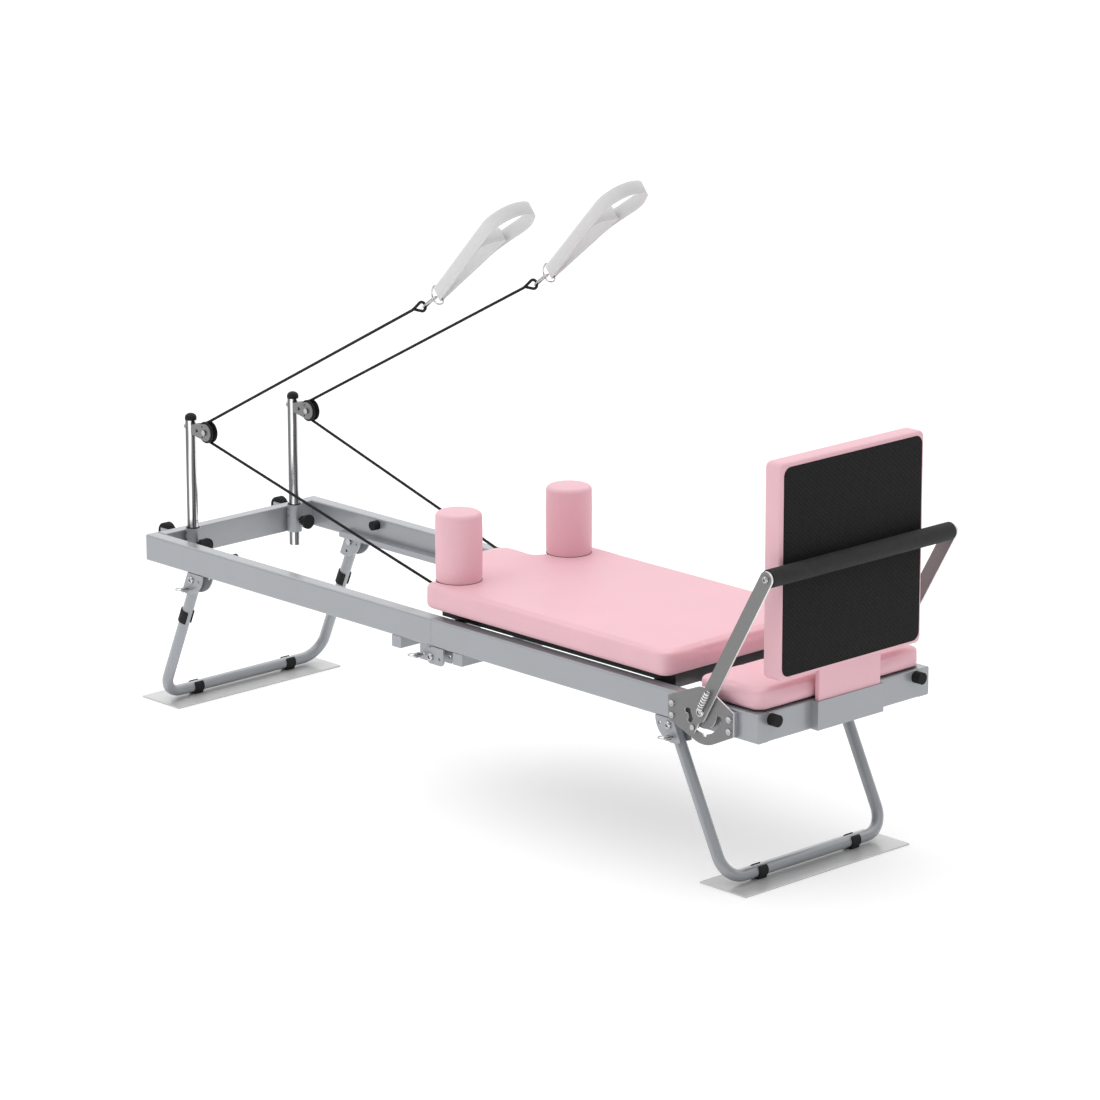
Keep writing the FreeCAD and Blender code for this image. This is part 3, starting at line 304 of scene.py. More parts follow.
def plated(name, color, rough, painted_reflection_dark):
    """Bright plating with painted reflections, dark bands painted into its colour by the way each face looks,
    polishing lines and slight smudges.
    """
    f = Finish(name, color, rough, 1.0)
    smudge = f.noise(22, 4)
    # painted reflections: a noise over each face's direction picks where the colour is painted dark
    painted_reflection_noise = f.noise(2.9, 1.5, 0.5, where=f.add("ShaderNodeNewGeometry").outputs["Normal"])
    painted_reflection_mask = f.spread(painted_reflection_noise, 1, 0, 0.43, 0.53)
    f.paint(f.mix(painted_reflection_mask, color, scaled(color, painted_reflection_dark))).gloss(smudge, rough, rough + 0.10)
    return f.bump(f.noise(260, 3, stretch=(1, 1, 0.06)), 0.00003, 0.25)


def painted_reflection_chrome(name, color, bands, rough):
    """Polished tube with painted reflections: light and dark bands painted into its colour by the compass bearing
    each face looks to, standing in for a mirrored dark studio.
    """
    f = Finish(name, color, rough, 1.0)
    geometry = f.add("ShaderNodeNewGeometry")
    apart = f.add("ShaderNodeSeparateXYZ")
    f.link(geometry.outputs["Normal"], apart.inputs[0])
    bearing = f.math("ARCTAN2", apart.outputs["Y"], apart.outputs["X"])
    wander = f.noise(14, 3, 0.6, stretch=(1, 1, 0.35))
    turned = f.math("ADD", bearing, f.math("MULTIPLY", f.math("SUBTRACT", wander, 0.5), 0.35))
    share = f.spread(turned, 0.0, 1.0, -math.pi, math.pi)
    # painted reflections: a ramp of light and dark bands round the compass, painted into the colour
    ramp = f.add("ShaderNodeValToRGB")
    f.link(share, ramp.inputs["Fac"])
    stops = ramp.color_ramp.elements
    while len(stops) > 1:
        stops.remove(stops[-1])
    for number, (degrees, level) in enumerate(bands):
        stop = stops[0] if number == 0 else stops.new((degrees + 180) / 360)
        stop.position = (degrees + 180) / 360
        stop.color = (level, level, level * 1.02, 1)
    smudge = f.noise(22, 4)
    f.paint(ramp.outputs["Color"]).gloss(smudge, rough, rough + 0.08)
    return f.bump(f.noise(260, 3, stretch=(1, 1, 0.06)), 0.00002, 0.2)


def moulded(name, color, rough, grain=700):
    """Moulded plastic or rubber with a fine eroded skin."""
    f = Finish(name, color, rough, Specular_IOR_Level=0.22)
    skin = f.noise(grain, 4, 0.7)
    wear = f.noise(30, 4)
    f.paint(f.tint(f.spread(wear, 0, 1), 0.8, 1.35)).gloss(wear, rough - 0.06, rough + 0.12)
    return f.bump(skin, 0.00012, 0.5)


def vinyl(name, color):
    """Soft synthetic leather: pebbled grain with pores painted darker in their hollows as painted shade, and a
    gentle sheen.
    """
    f = Finish(name, color, 0.5, Specular_IOR_Level=0.35)
    grain = f.cells(620, "SMOOTH_F1")
    fine = f.noise(1500, 3)
    clouds = f.noise(7, 4)
    # painted shade: the colour darkens towards the middle of each grain cell, where the relief is lowest
    shade = f.mix(f.spread(grain, 0.16, 0.0, 0.1, 0.55), f.tint(f.spread(clouds, 0, 1), 0.965, 1.02),
                  scaled(color, 0.72))
    f.paint(shade).gloss(clouds, 0.44, 0.58)
    f.bump(f.noise(26, 3), 0.0011, 0.22)
    f.bump(grain, 0.00022, 0.5)
    return f.bump(fine, 0.00005, 0.4)


def foam(name, color):
    """Closed-cell foam tube: many tiny pits, painted darker in their hollows as painted shade, and a matt skin."""
    f = Finish(name, color, 0.82, Specular_IOR_Level=0.25)
    pits = f.cells(900)
    blotch = f.noise(40, 4)
    # painted shade: the colour darkens towards the middle of each pit, where the relief is lowest
    shade = f.mix(f.spread(pits, 0.5, 0.0, 0.0, 0.5), f.tint(f.spread(blotch, 0, 1), 0.85, 1.25),
                  scaled(color, 0.4))
    f.paint(shade).gloss(blotch, 0.74, 0.9)
    return f.bump(pits, 0.00025, 0.6)


def woven_panel(name, dark, light):
    """Coarse diagonal weave of dark yarn, read in the panel's own Y and Z, its crests painted lighter as a painted
    highlight and its hollows left near black as painted shade.
    """
    f = Finish(name, dark, 0.75, Specular_IOR_Level=0.12)
    apart = f.add("ShaderNodeSeparateXYZ")
    f.link(f.place, apart.inputs[0])
    yarn_pitch = 0.0062
    turns = 2 * math.pi / yarn_pitch
    one = f.math("MULTIPLY", f.math("ADD", apart.outputs["Y"], apart.outputs["Z"]), turns)
    two = f.math("MULTIPLY", f.math("SUBTRACT", apart.outputs["Y"], apart.outputs["Z"]), turns)
    warp = f.math("SINE", one)
    weft = f.math("SINE", two)
    yarn = f.math("MULTIPLY", warp, weft)
    fuzz = f.noise(1200, 3)
    # painted highlight and shade: the lighter colour goes on the yarn's crests, where the relief is highest
    high = f.math("MULTIPLY", f.spread(yarn, 0, 1, 0.1, 0.9), f.spread(fuzz, 0.3, 1.0))
    f.paint(f.mix(high, dark, light)).gloss(fuzz, 0.65, 0.85)
    f.bump(yarn, 0.0006, 0.6)
    return f.bump(fuzz, 0.0001, 0.5)


def webbing(name, color, width):
    """Flat woven strap: ribs across, a twill drift along, its hollows painted darker as painted shade, and two rows
    of stitches. U runs along in metres.
    """
    rib_pitch, twill_pitch, stitch_pitch = 0.0016, 0.0032, 0.006
    seam_inset, seam_reach = 0.004, 0.0007
    f = Finish(name, color, 0.78, Specular_IOR_Level=0.2)
    apart = f.add("ShaderNodeSeparateXYZ")
    f.link(f.uv, apart.inputs[0])
    along, across = apart.outputs["X"], apart.outputs["Y"]
    rib = f.math("SINE", f.math("MULTIPLY", along, 2 * math.pi / rib_pitch))
    twill = f.math("SINE", f.math("MULTIPLY", f.math("ADD", along, across), 2 * math.pi / twill_pitch))
    weave = f.math("ADD", f.math("MULTIPLY", rib, 0.5), f.math("MULTIPLY", twill, 0.5))
    fuzz = f.noise(900, 3)
    edge = f.math("ABSOLUTE", f.math("SUBTRACT", across, width / 2))
    row = f.math("COMPARE", edge, width / 2 - seam_inset, seam_reach)
    gap = f.math("GREATER_THAN", f.math("SINE", f.math("MULTIPLY", along, 2 * math.pi / stitch_pitch)), -0.5)
    stitch = f.math("MULTIPLY", row, gap)
    # painted shade: the weave's hollows, where the relief is lowest, are painted darker
    shade = f.mix(f.spread(weave, 0, 1, -0.8, 0.8), scaled(color, 0.86), color)
    shade = f.mix(stitch, shade, scaled(color, 1.18))
    f.paint(shade).gloss(fuzz, 0.7, 0.88)
    f.bump(weave, 0.0003, 0.45)
    return f.bump(stitch, 0.0004, 0.6)


def braid(name, color, radius):
    """Braided rope sheath, its strand crests painted lighter as a painted highlight. U runs along and V round, both
    in metres.
    """
    f = Finish(name, color, 0.7, Specular_IOR_Level=0.2)
    apart = f.add("ShaderNodeSeparateXYZ")
    f.link(f.uv, apart.inputs[0])
    lay_length, strands_round = 0.0065, 4
    along = f.math("MULTIPLY", apart.outputs["X"], 2 * math.pi / lay_length)
    around = f.math("MULTIPLY", apart.outputs["Y"], strands_round / radius)
    left = f.math("SINE", f.math("ADD", along, around))
    right = f.math("SINE", f.math("SUBTRACT", along, around))
    strands = f.math("MAXIMUM", left, right)
    # painted highlight: the strands' crests, where the relief is highest, are painted lighter
    f.paint(f.mix(f.spread(strands, 0, 1, 0.0, 1.0), color, scaled(color, 2.4, 0.01))).gloss(strands, 0.6, 0.8)
    return f.bump(strands, 0.0007, 0.8)


STRAP_WIDTH = 0.036
SHEATH_RADIUS = 0.0037
# painted reflections: compass bearing in degrees and the brightness painted there, going round a polished tube
PAINTED_REFLECTION_BANDS = ((-180, 0.5), (-140, 0.16), (-122, 0.20), (-100, 0.12), (-74, 0.17), (-65, 0.85), (-47, 0.95),
                (-41, 0.5), (-36, 0.09), (-23, 0.24), (-14, 0.08), (-2, 0.15), (4, 0.7), (30, 0.9), (50, 0.5),
                (90, 0.15), (130, 0.8), (180, 0.5))
LOOKS = {
    "rail": powder_coat("rail_grey", srgb(154, 157, 162), 0.4, 0.3),
    "plate": powder_coat("plate_grey", srgb(198, 198, 198), 0.5, 0.2),
    "black_paint": powder_coat("black_satin", srgb(46, 46, 47), 0.5, 0.0),
    # the laser plates' edges carry a painted highlight, near white
    "laser_plate": satin_steel("laser_cut_steel", srgb(126, 126, 126), 0.42, cut_edge_highlight=srgb(242, 242, 243)),
    "cheek_steel": satin_steel("cheek_steel", srgb(126, 126, 127), 0.32),
    # the last number of each plated finish is how dark its painted reflections go
    "chrome": plated("chrome", srgb(232, 232, 234), 0.06, 0.07),
    "bright": plated("bright_zinc", srgb(246, 246, 247), 0.2, 0.45),
    # the posts' chrome has its reflections painted into its colour
    "post_chrome_painted_reflections": painted_reflection_chrome("post_chrome_painted_reflections", srgb(232, 232, 234), PAINTED_REFLECTION_BANDS, 0.1),
    "zinc": plated("zinc", srgb(214, 214, 216), 0.18, 0.3),
    "black_plastic": moulded("black_plastic", srgb(26, 26, 27), 0.5),
    "rubber": moulded("black_rubber", srgb(28, 28, 29), 0.7, 500),
    "foam": foam("grip_foam", srgb(50, 50, 51)),
    "vinyl": vinyl("pink_vinyl", srgb(234, 187, 197)),
    "weave": woven_panel("black_weave", srgb(7, 7, 7), srgb(92, 92, 92)),
    "webbing": webbing("grey_webbing", srgb(221, 221, 222), STRAP_WIDTH),
    "rope": braid("black_braid", srgb(16, 16, 16), SHEATH_RADIUS),
}


def dress(look, *names):
    for name in names:
        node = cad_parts[name]
        node.data.materials.clear()
        node.data.materials.append(LOOKS[look].material)


def dress_part(look, name, chosen):
    """A second finish on the faces of a CAD node whose centres are chosen."""
    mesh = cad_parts[name].data
    mesh.materials.append(LOOKS[look].material)
    for face in mesh.polygons:
        if chosen(face.center):
            face.material_index = 1


# ---------------------------------------------------------------- mesh helpers
def add_mesh(name, points, faces, look, uvs=None, slot=None):
    mesh = bpy.data.meshes.new(name)
    mesh.from_pydata([tuple(p) for p in points], [], faces)
    if uvs:
        layer = mesh.uv_layers.new(name="UVMap")
        for loop in mesh.loops:
            layer.data[loop.index].uv = uvs[loop.vertex_index]
    for face in mesh.polygons:
        face.use_smooth = True
    mesh.validate()
    piece = bpy.data.objects.new(name, mesh)
    bpy.context.collection.objects.link(piece)
    mesh.materials.append(LOOKS[look].material)
    return piece


def sharpen(piece, degrees=35):
    """Smooth shading with hard edges kept where the faces meet at more than the angle."""
    mesh = piece.data
    work = bmesh.new()
    work.from_mesh(mesh)
    for edge in work.edges:
        if len(edge.link_faces) == 2:
            edge.smooth = edge.calc_face_angle(0) < math.radians(degrees)
    work.to_mesh(mesh)
    work.free()
    return piece


def apply_modifiers(piece):
    graph = bpy.context.evaluated_depsgraph_get()
    made = bpy.data.meshes.new_from_object(piece.evaluated_get(graph))
    piece.modifiers.clear()
    old = piece.data
    piece.data = made
    bpy.data.meshes.remove(old)


def round_edges(piece, width, segments, degrees):
    """Round over the edges where faces meet at more than the angle."""
    step = piece.modifiers.new("bevel", "BEVEL")
    step.width = width
    step.segments = segments
    step.limit_method = "ANGLE"
    step.angle_limit = math.radians(degrees)
    apply_modifiers(piece)


def shade_smooth(piece):
    for face in piece.data.polygons:
        face.use_smooth = True


def rounded_points(corners, radii, step, closed=False):
    """Points along straight runs through the corners, with tangent arcs of the given radii."""
    corners = [Vector(c) for c in corners]
    count = len(corners)
    points = []
    for index, corner in enumerate(corners):
        radius = radii[index]
        if radius == 0 or (not closed and index in (0, count - 1)):
            points.append(corner)
            continue
        back = (corners[index - 1] - corner).normalized()
        ahead = (corners[(index + 1) % count] - corner).normalized()
        half = back.angle(ahead) / 2
        reach = radius / math.tan(half)
        middle = (back + ahead).normalized()
        centre = corner + middle * (radius / math.sin(half))
        start = corner + back * reach - centre
        end = corner + ahead * reach - centre
        sweep = start.angle(end)
        parts = max(2, int(math.ceil(radius * sweep / step)))
        axis = start.cross(end).normalized()
        for number in range(parts + 1):
            points.append(centre + Matrix.Rotation(sweep * number / parts, 3, axis) @ start)
    return points


def resample(points, step, closed=False):
    """The same line with evenly spaced points."""
    line = list(points) + ([points[0]] if closed else [])
    lengths = [0.0]
    for a, b in zip(line, line[1:]):
        lengths.append(lengths[-1] + (b - a).length)
    total = lengths[-1]
    count = max(2, int(round(total / step)))
    out = []
    k = 0
    for number in range(count + (0 if closed else 1)):
        goal = total * number / count
        while k < len(lengths) - 2 and lengths[k + 1] < goal:
            k += 1
        span = lengths[k + 1] - lengths[k]
        share = (goal - lengths[k]) / span if span > 1e-12 else 0
        out.append(line[k].lerp(line[k + 1], min(1, max(0, share))))
    return out, total


def tube(name, line, radius, look, sides=16, **extra):
    """A round tube swept along a line, with UVs in metres along and round."""
    count = len(line)
    points, uvs, faces = [], [], []
    tangent = (line[1] - line[0]).normalized()
    normal = tangent.orthogonal().normalized()
    along = 0.0
    for index, centre in enumerate(line):
        heading = (line[min(index + 1, count - 1)] - line[max(index - 1, 0)]).normalized()
        normal = (normal - heading * normal.dot(heading)).normalized()
        side = heading.cross(normal)
        if index:
            along += (centre - line[index - 1]).length
        for k in range(sides + 1):
            turn = 2 * math.pi * k / sides
            points.append(centre + (normal * math.cos(turn) + side * math.sin(turn)) * radius)
            uvs.append((along, radius * turn))
    ring = sides + 1
    for index in range(count - 1):
        a, b = index * ring, (index + 1) * ring
        for k in range(sides):
            faces.append((a + k, a + k + 1, b + k + 1, b + k))
    for centre, base, flip in ((line[0], 0, True), (line[-1], (count - 1) * ring, False)):
        points.append(centre)
        uvs.append((0, 0))
        tip = len(points) - 1
        for k in range(sides):
            pair = (base + k + 1, base + k) if flip else (base + k, base + k + 1)
            faces.append((*pair, tip))
    return add_mesh(name, points, faces, look, uvs=uvs, **extra)


def lathe(name, profile, look, origin, sides, axis=(0, 0, 1), **extra):
    """A turned piece: (radius, height) pairs round an axis through the origin."""
    turn = Vector((0, 0, 1)).rotation_difference(Vector(axis)).to_matrix()
    points, faces = [], []
    for radius, height in profile:
        for k in range(sides):
            angle = 2 * math.pi * k / sides
            spot = Vector((radius * math.cos(angle), radius * math.sin(angle), height))
            points.append(turn @ spot + Vector(origin))
    for row in range(len(profile) - 1):
        for k in range(sides):
            after = (k + 1) % sides
            faces.append((row * sides + k, row * sides + after, (row + 1) * sides + after, (row + 1) * sides + k))
    faces.append(tuple(reversed(range(sides))))
    top = (len(profile) - 1) * sides
    faces.append(tuple(range(top, top + sides)))
    return sharpen(add_mesh(name, points, faces, look, **extra))


def slab(name, outline, low, high, look, width=0.0, axis="z", segments=3, **extra):
    """A flat piece with the outline's shape between two heights along an axis, its edges rounded over by a width."""
    lay = {"z": lambda a, b, h: (a, b, h), "x": lambda a, b, h: (h, a, b)}[axis]
    count = len(outline)
    points = [lay(a, b, low) for a, b in outline] + [lay(a, b, high) for a, b in outline]
    faces = [tuple(reversed(range(count))), tuple(range(count, 2 * count))]
    for k in range(count):
        after = (k + 1) % count
        faces.append((k, after, count + after, count + k))
    piece = add_mesh(name, points, faces, look, **extra)
    fix_normals(piece)
    if not width:
        return sharpen(piece)
    round_edges(piece, width, segments, 35)
    shade_smooth(piece)
    return sharpen(piece, 40)


def fix_normals(piece):
    work = bmesh.new()
    work.from_mesh(piece.data)
    bmesh.ops.recalc_face_normals(work, faces=work.faces)
    work.to_mesh(piece.data)
    work.free()


def rectangle(a0, b0, a1, b1, radius=0.0, step=0.003):
    corners = [(a0, b0, 0), (a1, b0, 0), (a1, b1, 0), (a0, b1, 0)]
    return [(p.x, p.y) for p in rounded_points(corners, [radius] * 4, step, closed=True)]


# ---------------------------------------------------------------- soft pads
# the cover's mesh size, the air pressure in it, how far it may swell, and the frames it gets to settle
PAD_VOXEL, PAD_PRESSURE, PAD_SWELL, PAD_FRAMES = 0.005, 1.6, 0.003, 20
SHALLOW = 0.0016  # the carriage pad starts this much low, so that it swells up to its height


def soften(piece):
    """Swell a firm pad with air pressure in its cover, keeping its base where it is."""
    step = piece.modifiers.new("remesh", "REMESH")
    step.mode = "VOXEL"
    step.voxel_size = PAD_VOXEL
    step.use_smooth_shade = True
    apply_modifiers(piece)
    start = [v.co.copy() for v in piece.data.vertices]
    base = min(p.z for p in start)
    pinned = piece.vertex_groups.new(name="base")
    pinned.add([v.index for v in piece.data.vertices if v.co.z < base + PAD_VOXEL * 0.6], 1.0, "REPLACE")
    cloth = piece.modifiers.new("cloth", "CLOTH")
    settings = cloth.settings
    settings.quality = 4
    settings.mass = 0.4
    settings.use_pressure = True
    settings.uniform_pressure_force = PAD_PRESSURE
    settings.tension_stiffness = 40
    settings.compression_stiffness = 40
    settings.shear_stiffness = 20
    settings.bending_stiffness = 2
    settings.vertex_group_mass = "base"
    settings.effector_weights.gravity = 0
    cloth.collision_settings.use_collision = False
    cloth.point_cache.frame_start = 1
    cloth.point_cache.frame_end = PAD_FRAMES
    scene = bpy.context.scene
    for number in range(1, PAD_FRAMES + 1):
        scene.frame_set(number)
    apply_modifiers(piece)
    scene.frame_set(1)
    for vertex, before in zip(piece.data.vertices, start):
        moved = vertex.co - before
        if moved.length > PAD_SWELL:
            vertex.co = before + moved.normalized() * PAD_SWELL


def subdivide(piece):
    step = piece.modifiers.new("subdivision", "SUBSURF")
    step.levels = 1
    step.render_levels = 1
    apply_modifiers(piece)
    shade_smooth(piece)


def upholster(pad, rounding, node, body):
    """Turn a sharp slab into a soft pad that stands for a CAD node."""
    round_edges(pad, rounding, 5, 60)
    soften(pad)
    subdivide(pad)
    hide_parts(node)
    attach(pad, body)


def pad_outline():
    """The carriage pad seen from above, with its headrest."""
    head, foot, half = -68, 817, 285
    tip, rest = -196, 124
    corners = ((head, -half), (foot, -half), (foot, half), (head, half), (head, rest), (tip, rest), (tip, -rest),
               (head, -rest))
    radii = (45, 28, 28, 45, 32, 42, 42, 32)
    line = rounded_points([(x * MM, y * MM, 0) for x, y in corners], [r * MM for r in radii], 0.004, closed=True)
    return [(p.x, p.y) for p in line]


def add_carriage_pad():
    """The carriage pad on its black board."""
    board = slab("carriage_board", rectangle(-0.045, -0.262, 0.795, 0.262, 0.03), 0.4872, 0.4905, "black_paint",
                 0.0008, slot="black_paint")
    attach(board, "carriage")
    pad = slab("carriage_cushion", pad_outline(), 0.4880, 0.5490 - SHALLOW, "vinyl", slot="pink_vinyl")
    upholster(pad, 0.010, "carriage_pad", "carriage")


def add_platform_pad():
    """The fixed pad at the foot end on its black board."""
    outline = rectangle(0.922, -0.285, 1.132, 0.285, 0.030)
    board = slab("platform_board", outline, 0.4692, 0.4712, "black_paint", 0.0005, slot="black_paint")
    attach(board, "foot_frame")
    pad = slab("platform_cushion", outline, 0.4708, 0.5190, "vinyl", slot="pink_vinyl")
    upholster(pad, 0.009, "platform_pad", "foot_frame")


def add_shoulder_rests():
    """The two upright rolls at the shoulders, each on a thin black base."""
    top, rim, rounding = 0.166, 0.0476, 0.012
    profile = [(0.0001, 0.0), (0.0585, 0.0), (0.0592, 0.004), (0.0600, 0.05), (0.0602, 0.12), (0.0596, top)]
    for k in range(1, 9):
        turn = math.radians(90 * k / 8)
        profile.append((rim + rounding * math.cos(turn), top + rounding * math.sin(turn)))
    profile += [(0.030, 0.1794), (0.012, 0.1801), (0.0001, 0.1802)]
    for side, sign in SIDES:
        x, y = -0.020, sign * 0.193
        rest = lathe(f"shoulder_cushion_{side}", profile, "vinyl", (x, y, 0.5506), 72, slot="pink_vinyl")
        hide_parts(f"shoulder_rest_{side}")
        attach(rest, "carriage")
        base = lathe(f"shoulder_base_{side}", [(0.0001, 0), (0.0596, 0), (0.0596, 0.0020), (0.0001, 0.0020)],
                     "black_plastic", (x, y, 0.5492), 72, slot="black_plastic")
        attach(base, "carriage")


add_carriage_pad()
add_platform_pad()
add_shoulder_rests()


# ---------------------------------------------------------------- jump board
def add_jump_board():
    """The upholstered board with its black panel at the back, and its neck."""
    outline = rectangle(-0.2485, 0.5435, 0.2485, 1.0755, 0.016)
    board = slab("jump_board_cushion", outline, 1.1050, 1.1605, "vinyl", 0.009, axis="x", segments=5,
                 slot="pink_vinyl")
    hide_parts("jump_board_pad")
    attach(board, "jump_board")
    panel = slab("jump_board_panel", rectangle(-0.239, 0.5535, 0.239, 1.0655, 0.022), 1.1560, 1.1622, "weave",
                 0.0012, axis="x", slot="board")
    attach(panel, "jump_board")
    neck = slab("jump_board_neck", rectangle(-0.1078, 0.4055, 0.1078, 0.5600, 0.004), 1.1440, 1.1590, "vinyl",
                0.003, axis="x", slot="pink_vinyl")
    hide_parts("jump_board_core")
    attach(neck, "jump_board")


add_jump_board()


# ---------------------------------------------------------------- ropes, hooks and straps
PULLEY = Vector((-1.026, 0, 0.754))
POST_LINE = 0.180  # the posts and pulleys stand this far to each side of the middle
ROPE_LINE = 0.0235  # radius of the rope's centre line round the pulley
ROPE_RADIUS = 0.0038
UPPER_REACH, HAND_SPREAD = 0.9811, 0.013  # along the upper rope from its pulley to the hand, and out to the side
UPPER_SLOPE, LOWER_SLOPE, STRAP_SLOPE = 27.12, -15.0, 37.5  # degrees above level
ROPE_LIFT = 0.7  # degrees that the drawn upper rope is steeper than its line in the CAD
HOOK_LENGTH = 0.093


def on_pulley(degrees, sign, radius=ROPE_LINE):
    turn = math.radians(degrees)
    return Vector((PULLEY.x + radius * math.cos(turn), sign * POST_LINE, PULLEY.z + radius * math.sin(turn)))


def hand_point(sign):
    """Where the upper rope ends in its eye."""
    turn = math.radians(UPPER_SLOPE)
    reach = Vector((UPPER_REACH * math.cos(turn), sign * HAND_SPREAD, UPPER_REACH * math.sin(turn)))
    return on_pulley(90 + UPPER_SLOPE, sign) + reach


def strap_point(sign, along, across, lift=0.0):
    """A point by its millimetres along, across and above the strap's own plane, from the D-ring."""
    turn = math.radians(STRAP_SLOPE)
    base = hand_point(sign) + Vector((math.cos(turn), 0, math.sin(turn))) * HOOK_LENGTH
    return base + Vector((along * math.cos(turn) - lift * math.sin(turn), -across,
                          along * math.sin(turn) + lift * math.cos(turn))) * MM


def cord_piece(side, part, line):
    """The rope along a line, as a tube that stands for its CAD node."""
    rope = tube(f"{part}_rope_{side}", line, ROPE_RADIUS, "rope", slot="rope")
    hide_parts(f"rope_{part}_{side}")
    return rope


def add_upper_rope(side, sign):
    """From under the pulley round its back and up to the hand, where it ends in a spliced eye."""
    slope = UPPER_SLOPE + ROPE_LIFT
    leave, arrive = 90 + slope, 270 + LOWER_SLOPE
    step = (arrive - leave) / 4
    corner = ROPE_LINE / math.cos(math.radians(step))
    turn = math.radians(slope)
    along = Vector((math.cos(turn), 0, math.sin(turn)))
    up = Vector((-math.sin(turn), 0, math.cos(turn)))
    throat = on_pulley(leave, sign) + along * UPPER_REACH + Vector((0, sign * HAND_SPREAD, 0))
    # the eye: an oval below the rope's line, its end spliced back onto the rope
    half_length, half_width, ahead, above, tilt = 0.0135, 0.0115, 0.0173, -0.0036, math.radians(-12)
    eye = []
    for number in range(46):
        around = math.radians(120 - 5 * number)
        a, b = half_length * math.cos(around), half_width * math.sin(around)
        eye.append(throat + along * (ahead + a * math.cos(tilt) - b * math.sin(tilt))
                   + up * (above + a * math.sin(tilt) + b * math.cos(tilt)))
    corners = [on_pulley(arrive, sign), on_pulley(arrive - step, sign, corner),
               on_pulley(leave + step, sign, corner), on_pulley(leave, sign), throat - along * 0.020, eye[0]]
    line, _ = resample(rounded_points(corners, (0, ROPE_LINE, ROPE_LINE, 0, 0.06, 0), 0.002), 0.004)
    splice, _ = resample([eye[-1], throat - along * 0.012 - up * 0.0015], 0.004)
    line += eye[1:] + splice[1:]
    rope = cord_piece(side, "upper", line)
    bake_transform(rope)


def add_lower_rope(side, sign):
    """From the pulley down to the lug under the carriage; it moves with its post and keeps its length."""
    start = on_pulley(270 + LOWER_SLOPE, sign)
    end = Vector((-0.0655, sign * 0.1436, 0.4723))
    line, length = resample([start, end], 0.01)
    rope = cord_piece(side, "lower", line)
    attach(rope, f"post_{side}")
    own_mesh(rope)


def ribbon(name, line, width, thick, look, **extra):
    """A closed band of webbing standing on edge along a closed line in the strap's plane."""
    turn = math.radians(STRAP_SLOPE)
    rise = Vector((-math.sin(turn), 0, math.cos(turn)))
    count = len(line)
    points, uvs, faces = [], [], []
    rim = 0.0006
    section = [(-width / 2, -thick / 2 + rim), (-width / 2 + rim, -thick / 2), (0, -thick / 2),
               (width / 2 - rim, -thick / 2), (width / 2, -thick / 2 + rim), (width / 2, thick / 2 - rim),
               (width / 2 - rim, thick / 2), (0, thick / 2), (-width / 2 + rim, thick / 2),
               (-width / 2, thick / 2 - rim)]
    along = 0.0
    for index in range(count + 1):
        centre = line[index % count]
        heading = (line[(index + 1) % count] - line[index - 1 if index else -1]).normalized()
        if index == count:
            heading = (line[1] - line[-1]).normalized()
        outward = heading.cross(rise).normalized()
        if index:
            along += (centre - line[index - 1]).length
        for a, b in section:
            points.append(centre + rise * a + outward * b)
            uvs.append((along, a + width / 2))
    ring = len(section)
    for index in range(count):
        a, b = index * ring, (index + 1) * ring
        for k in range(ring):
            after = (k + 1) % ring
            faces.append((a + k, a + after, b + after, b + k))
    band = add_mesh(name, points, faces, look, uvs=uvs, **extra)
    fix_normals(band)
    return band, along


# each loop's corners along and across the strap's plane, and the radii at them, in millimetres
STRAP_LOOP = (((-2, -7), (-2, 7), (400, 119), (466, 88), (455, 8), (372, -32), (270, 3)),
              (6.5, 6.5, 84, 54, 60, 66, 200))
INNER_LOOP = (((14, -3), (14, 8), (318, 92.5), (322, 8)), (4, 4, 22, 14))


def inward(corners, gap):
    """The same closed outline moved inward by a gap, all turns being to one side."""
    out = []
    count = len(corners)
    area = sum(corners[k - 1][0] * corners[k][1] - corners[k][0] * corners[k - 1][1] for k in range(count))
    way = 1 if area > 0 else -1
    for k in range(count):
        before, here, after = (Vector(corners[j % count]) for j in (k - 1, k, k + 1))
        one = (here - before).normalized()
        two = (after - here).normalized()
        left = Vector((-one.y, one.x)) * way
        other = Vector((-two.y, two.x)) * way
        middle = (left + other).normalized()
        out.append(tuple(here + middle * (gap / middle.dot(left))))
    return out


def add_strap(side, sign):
    """The long hand loop and the shorter one sewn inside it."""
    inset, tightest = 1.5, 1.0
    for part, (corners, radii), thick in (("outer", STRAP_LOOP, 2.6), ("inner", INNER_LOOP, 2.4)):
        line = [strap_point(sign, a, b) for a, b in inward(corners, inset)]
        radii_m = [max(r - inset, tightest) * MM for r in radii]
        path, _ = resample(rounded_points(line, radii_m, 0.002, closed=True), 0.004, closed=True)
        band, length = ribbon(f"strap_{part}_{side}", path, STRAP_WIDTH, thick * MM, "webbing", slot="webbing")
        if part == "outer":
            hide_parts(f"strap_{side}")
        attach(band, f"handle_{side}")


